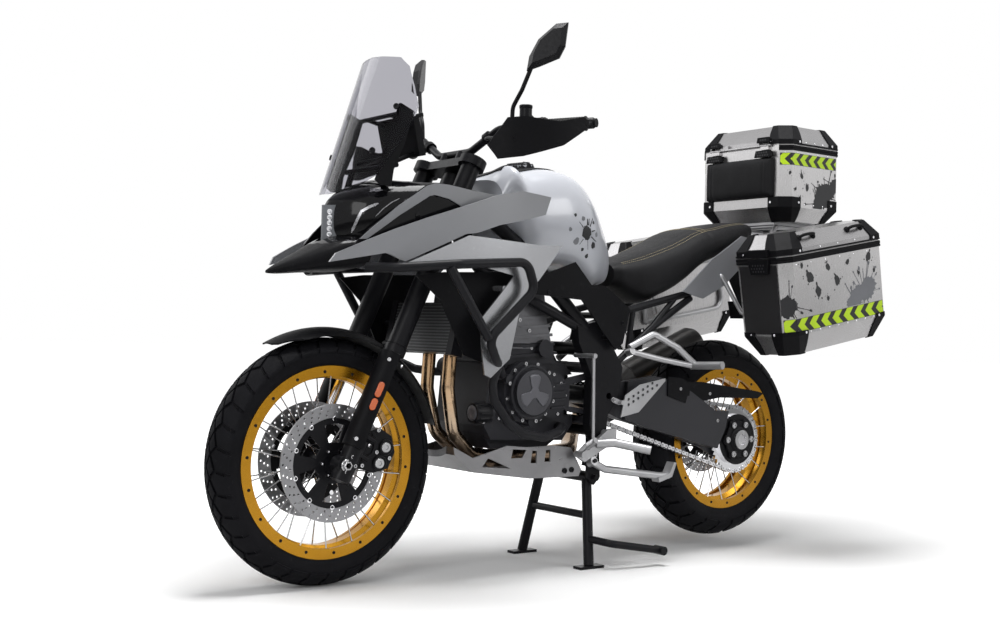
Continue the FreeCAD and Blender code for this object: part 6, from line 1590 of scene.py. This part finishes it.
def filter_cap():
    """The ribbed oil filter with its cap."""
    shape, dark = Shape(), Shape()
    at, aim = P(420, -100, 456), Vector((-1, 0, 0))
    dark.lathe(at, aim, [(-0.052, 0.0284), (-0.050, 0.0292), (-0.004, 0.0292), (0.001, 0.0276),
                         (0.001, 0.0240)], 48)
    for i in range(12):
        a = math.pi / 6 * i
        side = Vector((0, math.cos(a), math.sin(a)))
        dark.drum(at - aim * 0.040 + side * 0.0286, at - aim * 0.010 + side * 0.0286, 0.0026, 8)
    shape.lathe(at, aim, [(-0.001, 0.0215), (0.0020, 0.0215), (0.0035, 0.0190), (0.0038, 0.0110),
                          (0.0025, 0.0080), (0.0022, 0.0010)], 40)
    dark.piece("oil_filter_case", "chassis", SATIN)
    shape.piece("oil_filter_cap", "chassis", COVER_LIGHT)


def fins():
    """Cast ribs on the sides of the cylinder block."""
    shape = Shape()
    for side in (-1, 1):
        for k in range(5):
            z = 640 + 15 * k
            line = []
            for x in range(452, 612, 8):
                at = touch("engine", P(x, side * 300, z), (0, -side, 0))[0]
                if at is not None:
                    line.append(at)
            for a, b in zip(line, line[1:]):
                if (b - a).length < 0.03:
                    out, half = Vector((0, side, 0)), Vector((0, 0, 0.0016))
                    foot = out * 0.001
                    shape.prism([a - foot + half, b - foot + half, b - foot - half, a - foot - half],
                                out * 0.0042)
    shape.piece("cylinder_ribs", "chassis", CYLINDER)


lobed_cover()
case_bolts()
filter_cap()
fins()
seat_bolts("skid_plate_bolts", "skid_plate", [(742, 290), (716, 288), (556, 350)], 0.0085, 0.004, SATIN,
           y=-400, both=True)
seat_bolts("frame_bolts", "main_frame", [(836, 330), (700, 800)], 0.0095, 0.006, y=-400, both=True)
seat_bolts("panel_bolts", "side_covers", [(610, 800), (900, 720)], 0.0065, 0.003, SATIN, y=-400, both=True)
seat_bolts("fairing_bolts", "side_fairings", [(330, 905), (250, 902), (470, 960)], 0.0062, 0.003, y=-400,
           both=True)


# Cockpit: grips, levers, switches, clamp screws and the display

BAR_BEND, BAR_END = (425.2, 185.0, 1242.3), (537.2, 420.0, 1244.3)


def bar_at(share, side):
    """A point on the bar between its bend, 0, and its end, 1."""
    a, b = (P(x, y * side, z) for x, y, z in (BAR_BEND, BAR_END))
    return a.lerp(b, share), (b - a).normalized()


def grips():
    """Ribbed grips, bar weights and switch blocks."""
    for side in (-1, 1):
        tag = side_name(side)
        end, way = bar_at(1, side)
        shape, metal, box = Shape(), Shape(), Shape()
        start = end - way * 0.122
        section = [(0.000, 0.0188), (0.002, 0.0215), (0.006, 0.0215), (0.008, 0.0185)]
        for k in range(13):
            a = 0.012 + k * 0.0080
            section += [(a, 0.0174), (a + 0.0008, 0.0188), (a + 0.0054, 0.0188), (a + 0.0062, 0.0174)]
        section += [(0.118, 0.0174), (0.119, 0.0200), (0.1215, 0.0200), (0.1225, 0.0180)]
        shape.lathe(start, way, section, 28)
        shape.piece("grip_" + tag, "steering", GRIP)
        metal.lathe(end, way, [(0.0005, 0.0125), (0.002, 0.0150), (0.020, 0.0150), (0.024, 0.0125),
                               (0.024, 0.0050), (0.020, 0.0045)], 32)
        metal.piece("bar_weight_" + tag, "steering", SATIN)
        hub = end - way * 0.150
        for k, (angle, size) in enumerate(((2.3, 0.0065), (2.9, 0.005), (3.6, 0.0055))):
            across = way.cross(Vector((0, 0, 1))).normalized()
            tall = across.cross(way)
            aim = (across * math.cos(angle) * -side + tall * math.sin(angle) * side).normalized()
            aim = aim if aim.x > 0 else -aim
            at = hub + way * (0.012 * (k - 1)) + aim * 0.0238
            box.lathe(at, aim, [(-0.002, size * 1.25), (0.0008, size * 1.25), (0.0008, size),
                                (0.0035, size * 0.94), (0.0042, size * 0.7)], 18)
        for k in (-0.021, 0.021):
            box.lathe(hub + way * (k - 0.001), way,
                      [(0, 0.0238), (0.0004, 0.0250), (0.0018, 0.0250), (0.0022, 0.0238)], 32)
        box.piece("switches_" + tag, "steering", MATT)


def levers():
    """A pivot screw on each lever's root and a reservoir cap above it."""
    shape, caps = Shape(), Shape()
    for side in (-1, 1):
        end, way = bar_at(1, side)
        root = end - way * 0.146
        shape.bolt(root + Vector((-0.030, 0, 0.0105)), (0, 0, 1), 0.0065, 0.004)
        tank = root + Vector((-0.030, -0.012 * side, 0.048))
        caps.lathe(tank, (0, 0, 1), [(-0.002, 0.0172), (0.0005, 0.0182), (0.0065, 0.0182), (0.0080, 0.0168),
                                     (0.0080, 0.0120), (0.0072, 0.0110), (0.0072, 0.0020)], 36)
    shape.piece("lever_screws", "steering", STEEL)
    caps.piece("reservoir_caps", "steering", SATIN)


def clamp_nuts():
    """Screws in the upper clamp and the caps of the fork legs."""
    shape, cap = Shape(), Shape()
    for side in (-1, 1):
        for x, y in ((420, 112), (396, 38), (424, 38)):
            at, normal = touch("triple_clamps", P(x, side * y, 1400), (0, 0, -1))
            if at is not None and normal.z > 0.6:
                shape.bolt(at, normal, 0.0070, 0.006)
        at = leg_point(921, side)
        cap.lathe(at, FORK_UP, [(0.0004, 0.0185), (0.0035, 0.0185), (0.0045, 0.0172), (0.0045, 0.0090),
                                (0.0085, 0.0085), (0.0090, 0.0075)], 24)
    shape.piece("clamp_screws", "steering", STEEL)
    cap.piece("fork_caps", "steering", ANODISED)


def display_face():
    """Plain bars and an arc of marks on the dark glass."""
    aim = Vector((-1, 0, 0))
    shape, dim = Shape(), Shape()

    def mark(target, y, z, w, h):
        corners = []
        for a, b in ((-w, -h), (w, -h), (w, h), (-w, h)):
            at, normal = touch("instrument_cluster", P(600, y + a, z + b), aim)
            if at is None:
                return
            corners.append(at + normal * 0.0003)
        target.prism(corners, (0.0003, 0, 0))

    for k in range(21):
        a = math.radians(-25 + 11.5 * k)
        mark(shape if k < 13 else dim, -48 * math.cos(a), 1196 + 40 * math.sin(a), 1.3,
             3.4 if k % 5 == 0 else 2.2)
    for k in range(5):
        mark(dim, 66, 1178 + 11 * k, 12 - k, 2.2)
    for y, z, w, h in ((0, 1196, 13, 8), (0, 1176, 18, 2), (-66, 1180, 9, 2), (-66, 1188, 6, 2)):
        mark(shape, y, z, w, h)
    shape.piece("display_marks", "chassis", GLOW_WHITE, smooth=False)
    dim.piece("display_marks_dim", "chassis", GLOW_BLUE, smooth=False)


grips()
levers()
clamp_nuts()
display_face()


# Nose: lamp cells, silver strips and small fixings, placed where the photograph shows them

PHOTO_WIDTH, PHOTO_HEIGHT = 1000, 625
PIXEL = SENSOR / FOCAL / PHOTO_WIDTH


def sight(px, py):
    """The camera's place, and the line of sight through a pixel of the photograph."""
    x = (px + 0.5 - PHOTO_WIDTH / 2 + SHIFT_RIGHT * PHOTO_WIDTH) * PIXEL
    y = (PHOTO_HEIGHT / 2 - py - 0.5 + SHIFT_UP * PHOTO_WIDTH) * PIXEL
    place = camera.matrix_world.translation
    return place.copy(), (camera.matrix_world.to_3x3() @ Vector((x, y, -1))).normalized()


def seen(node, px, py):
    """Where the line of sight through a pixel meets a node."""
    place, aim = sight(px, py)
    return touch(node, place, aim)


def seen_strip(name, body, node, pixels, width, thick, item):
    """A thin bar along a line of pixels, and its mirror image on the other side."""
    line = []
    for a, b in zip(pixels, pixels[1:]):
        steps = max(1, int(math.hypot(b[0] - a[0], b[1] - a[1]) * 0.9))
        line += [(a[0] + (b[0] - a[0]) * i / steps, a[1] + (b[1] - a[1]) * i / steps) for i in range(steps)]
    line.append(pixels[-1])
    hits = [q for q in (seen(node, *p) for p in line) if q[0] is not None]
    rows = []
    for k, (at, normal) in enumerate(hits):
        before, after = hits[max(0, k - 1)][0], hits[min(len(hits) - 1, k + 1)][0]
        if (after - before).length < 0.00001 or (after - before).length > 0.03:
            continue
        across = normal.cross((after - before).normalized()).normalized()
        half = width / 2000 * (0.3 + 0.7 * min(1.0, min(k, len(hits) - 1 - k) / 3))
        rows.append((at, normal, across * half))
    if len(rows) < 2:
        return
    points = []
    for at, normal, wide in rows:
        points += [at - wide - normal * 0.0008, at + wide - normal * 0.0008, at + wide * 0.8 + normal * thick,
                   at - wide * 0.8 + normal * thick]
    last = (len(rows) - 1) * 4
    faces = tube_faces(len(rows), 4) + [[3, 2, 1, 0], [last, last + 1, last + 2, last + 3]]
    for tag, flip in (("left", 1), ("right", -1)):
        shape = Shape()
        shape.mesh([(p.x, p.y * flip, p.z) for p in points], faces)
        shape.piece(name + "_" + tag, body, item)


def seen_bolts(name, body, node, pixels, radius, height, item):
    """Socket heads at pixels of the photograph, and their mirror images."""
    shape = Shape()
    for px, py in pixels:
        at, normal = seen(node, px, py)
        if at is not None:
            for flip in (1, -1):
                shape.bolt(Vector((at.x, at.y * flip, at.z)), (normal.x, normal.y * flip, normal.z), radius,
                           height)
    shape.piece(name, body, item)


CHEEK_STRIP = [(378.0, 203.0), (369.0, 206.5), (361.0, 211.0), (356.5, 220.0), (351.0, 232.0)]
CHEEK_LINE = [(399.0, 198.0), (391.0, 202.0), (383.0, 208.0), (375.0, 216.0)]
SCREEN_BOLTS = [(396.0, 106.0), (372.0, 150.0)]


def lamp_cells():
    """Two rows of small clear domes in bright cups behind the lamp's front."""
    cups, domes = Shape(), Shape()
    for side in (-1, 1):
        for k in range(5):
            at, normal = touch("headlight", P(-200, side * 17, 932 + 15 * k), (1, 0, 0))
            if at is None:
                continue
            cups.lathe(at - normal * 0.001, normal,
                       [(0, 0.0070), (0.0016, 0.0070), (0.0020, 0.0062), (0.0012, 0.0045)], 24)
            domes.lathe(at, normal, [(0.0001, 0.0044), (0.0016, 0.0040), (0.0028, 0.0028), (0.0034, 0.0010)],
                        20)
    cups.piece("headlight_cups", "chassis", CHROME)
    domes.piece("headlight_domes", "chassis", GLOW_WHITE)


lamp_cells()
seen_strip("cheek_strip", "chassis", "nose_cowl", CHEEK_STRIP, 9, 0.0022, GREY_TRIM)
seen_strip("cheek_line", "chassis", "nose_cowl", CHEEK_LINE, 2.4, 0.0014, GREY_TRIM)
seen_bolts("screen_bolts", "chassis", "windscreen", SCREEN_BOLTS, 0.0085, 0.005, SATIN)


# Tank: a dark panel on top, the filler's ring, and splashes on the sides


def tank_panel(u, v):
    """Wide behind the steering head and narrower towards the filler's back."""
    x = 508 + (770 - 508) * u
    half = 88 - 34 * u ** 1.4
    round_off = (max(0.0, 1 - max(0.0, (u - 0.86) / 0.14) ** 2.4)) ** 0.5 if u > 0.86 else 1.0
    return x, half * (2 * v - 1) * max(0.04, round_off), 1500


def filler():
    """A ring and a keyhole flap on the tank's highest flat."""
    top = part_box("fuel_tank")[1][2]
    spots = []
    for ix in range(24):
        for iy in range(-6, 7):
            at = touch("fuel_tank", P(540 + ix * 8, iy * 8, 1500), (0, 0, -1))[0]
            if at is not None and at.z > top - 0.0012:
                spots.append(at)
    if not spots:
        return
    centre = sum(spots, Vector()) / len(spots)
    radius = max((s - centre).length for s in spots)
    shape, bright = Shape(), Shape()
    at = Vector((centre.x, centre.y, top))
    shape.lathe(at, (0, 0, 1), [(-0.0015, radius + 0.001), (0.0022, radius), (0.0030, radius - 0.002),
                                (0.0030, radius * 0.55), (0.0022, radius * 0.50), (0.0022, 0.0005)], 48)
    for k in range(6):
        a = math.pi / 3 * k
        bright.bolt(at + Vector((math.cos(a), math.sin(a), 0)) * radius * 0.80 + Vector((0, 0, 0.0029)),
                    (0, 0, 1), 0.0036, 0.0014)
    bright.box(tuple(at + Vector((-0.012, -0.0035, 0.0022))), tuple(at + Vector((0.012, 0.0035, 0.0048))))
    shape.piece("filler_cap", "chassis", SATIN)
    bright.piece("filler_screws", "chassis", STEEL, bevel=0.0004)


def tank_splash():
    """Thrown drops in two greys on each side of the tank."""
    rng = random.Random(71)
    for side in (-1, 1):
        aim = Vector((0, -side, 0))
        shape = Shape()
        blots = [(756, 978, 19), (720, 952, 10), (790, 944, 9), (738, 1018, 7), (772, 912, 6), (690, 984, 6),
                 (750, 930, 5), (802, 976, 7), (706, 1026, 5), (786, 1010, 5)]
        for k, (x, z, r) in enumerate(blots):
            loop = [P(a, side * 400, b) for a, b in blob(rng, x, z, r, 0.18 if r > 7 else 0.05)]
            lay(shape, "fuel_tank", loop, aim, 0.0004 + 0.00003 * k, k % 2 if r > 5 else 0)
        for k in range(11):
            a = rng.uniform(0, 2 * math.pi)
            x, z = 756 + math.cos(a) * 22, 978 + math.sin(a) * 22
            lay(shape, "fuel_tank", [P(p, side * 400, q) for p, q in streak(rng, x, z, a, rng.uniform(14, 34),
                rng.uniform(1.2, 2.4))], aim, 0.0009 + 0.00003 * k, 0)
        shape.piece("tank_splash_" + side_name(side), "chassis", INK_AND_PAINTED_SHADE, INK_GREY, smooth=False)


drape("tank_top_panel", "chassis", "fuel_tank", tank_panel, 0.0028, MATT, cells=(60, 30))
filler()
tank_splash()


# Heel guard: its stay and its holes


def heel_guard_stay():
    """A tab that bolts the left heel guard to the frame plate."""
    shape = Shape()
    ends = (Vector((884.0, 492.0)), Vector((908.0, 484.0)))
    way = (ends[1] - ends[0]).normalized()
    side = Vector((-way.y, way.x))
    outline = []
    for end, sign in ((ends[1], 1), (ends[0], -1)):
        for k in range(9):
            a = -math.pi / 2 + math.pi * k / 8
            p = end + way * (7.5 * math.cos(a) * sign) + side * (7.5 * math.sin(a) * sign)
            outline.append(P(p.x, -166.0, p.y))
    shape.prism(outline, (0, -0.004, 0))
    shape.piece("heel_guard_stay", "chassis", CAST, bevel=0.0006)
    screw = Shape()
    screw.bolt(P(884, -170, 492), (0, -1, 0), 0.0058, 0.0045)
    screw.piece("heel_guard_screw", "chassis", STEEL)


def heel_guard_holes():
    """Round dimples in two rows along the guard, their near-black floors painted shade."""
    shape, rims = Shape(), Shape()
    for k in range(7):
        for row in range(2):
            x, z = 930 + 19 * k, 478 + 9.5 * k + 22 * row - (6 if row else 0)
            at, normal = touch("foot_controls", P(x, -400, z), (0, 1, 0))
            if at is not None and abs(normal.y) > 0.9 and at.y < -0.178:
                rims.lathe(at, normal, [(-0.0004, 0.0062), (0.0010, 0.0058), (0.0010, 0.0048),
                                        (0.0002, 0.0044)], 20)
                # A near-black disc in each dimple: painted shade in place of its depth.
                shape.drum(at + normal * 0.0001, at + normal * 0.0004, 0.0043, 20)
    shape.piece("heel_guard_holes", "chassis", INK_AND_PAINTED_SHADE)
    rims.piece("heel_guard_hole_rims", "chassis", CAST)


heel_guard_stay()
heel_guard_holes()


# Floor, backdrop and lamps

# Strength of the world's light, and of the floor's own glow below the machine
WORLD_LIGHT, FLOOR_NEAR = 0.17, 0.04
# Each lamp's name, place, size in metres and power in watts; all look at a point above the floor
LAMPS = (("top", (-0.2, -0.3, 4.6), 1.9, 185), ("left", (-4.6, -2.4, 2.8), 2.0, 62),
         ("right", (2.6, -4.4, 2.8), 2.0, 55), ("back", (-2.8, 4.4, 3.6), 2.4, 50))
LOOK_AT = Vector((0, 0, 0.6))


def make_stage():
    """A pale floor and backdrop with soft light from four sides."""
    data = bpy.data.meshes.new("floor")
    data.from_pydata([(-40, -40, 0), (40, -40, 0), (40, 40, 0), (-40, 40, 0)], [], [(0, 1, 2, 3)])
    floor = linked("floor", data)
    n = Nodes("pale_floor")
    n.set(colour=n.mixed(n.noise(0.7, 3), (0.90, 0.90, 0.90), (0.915, 0.915, 0.915)), rough=0.9, spec=0.0)
    split = n.add("ShaderNodeVectorMath", operation="LENGTH")
    n.link(n.scaled((0.62, 1.0, 1.0)), split.inputs[0])
    away_from_it = n.spread(split.outputs["Value"], 0.5, 2.6, FLOOR_NEAR, 1.0)
    path = n.add("ShaderNodeLightPath")
    n.shader.inputs["Emission Color"].default_value = (1, 1, 1, 1)
    n.link(n.maths("MULTIPLY", away_from_it, path.outputs["Is Camera Ray"]),
           n.shader.inputs["Emission Strength"])
    data.materials.append(n.material)
    world = bpy.data.worlds.new("studio")
    scene.world = world
    world.use_nodes = True
    tree = world.node_tree
    tree.nodes.clear()
    out, path = tree.nodes.new("ShaderNodeOutputWorld"), tree.nodes.new("ShaderNodeLightPath")
    soft, seen = tree.nodes.new("ShaderNodeBackground"), tree.nodes.new("ShaderNodeBackground")
    soft.inputs[0].default_value, soft.inputs[1].default_value = (1, 1, 1, 1), WORLD_LIGHT
    seen.inputs[0].default_value, seen.inputs[1].default_value = (1, 1, 1, 1), 1.0
    mix = tree.nodes.new("ShaderNodeMixShader")
    first, second = (tree.nodes.new("ShaderNodeMath") for _ in range(2))
    first.operation = second.operation = "MAXIMUM"
    tree.links.new(path.outputs["Is Camera Ray"], first.inputs[0])
    tree.links.new(path.outputs["Is Glossy Ray"], first.inputs[1])
    tree.links.new(first.outputs[0], second.inputs[0])
    tree.links.new(path.outputs["Is Transmission Ray"], second.inputs[1])
    tree.links.new(second.outputs[0], mix.inputs[0])
    tree.links.new(soft.outputs[0], mix.inputs[1])
    tree.links.new(seen.outputs[0], mix.inputs[2])
    tree.links.new(mix.outputs[0], out.inputs[0])
    for name, spot, size, power in LAMPS:
        light = bpy.data.lights.new(name, "AREA")
        light.shape, light.size, light.energy = "SQUARE", size, power
        lamp = linked(name, light)
        lamp.location = spot
        lamp.rotation_mode = "QUATERNION"
        lamp.rotation_quaternion = (LOOK_AT - Vector(spot)).to_track_quat("-Z", "Y")


make_stage()
scene.view_settings.view_transform = "Standard"
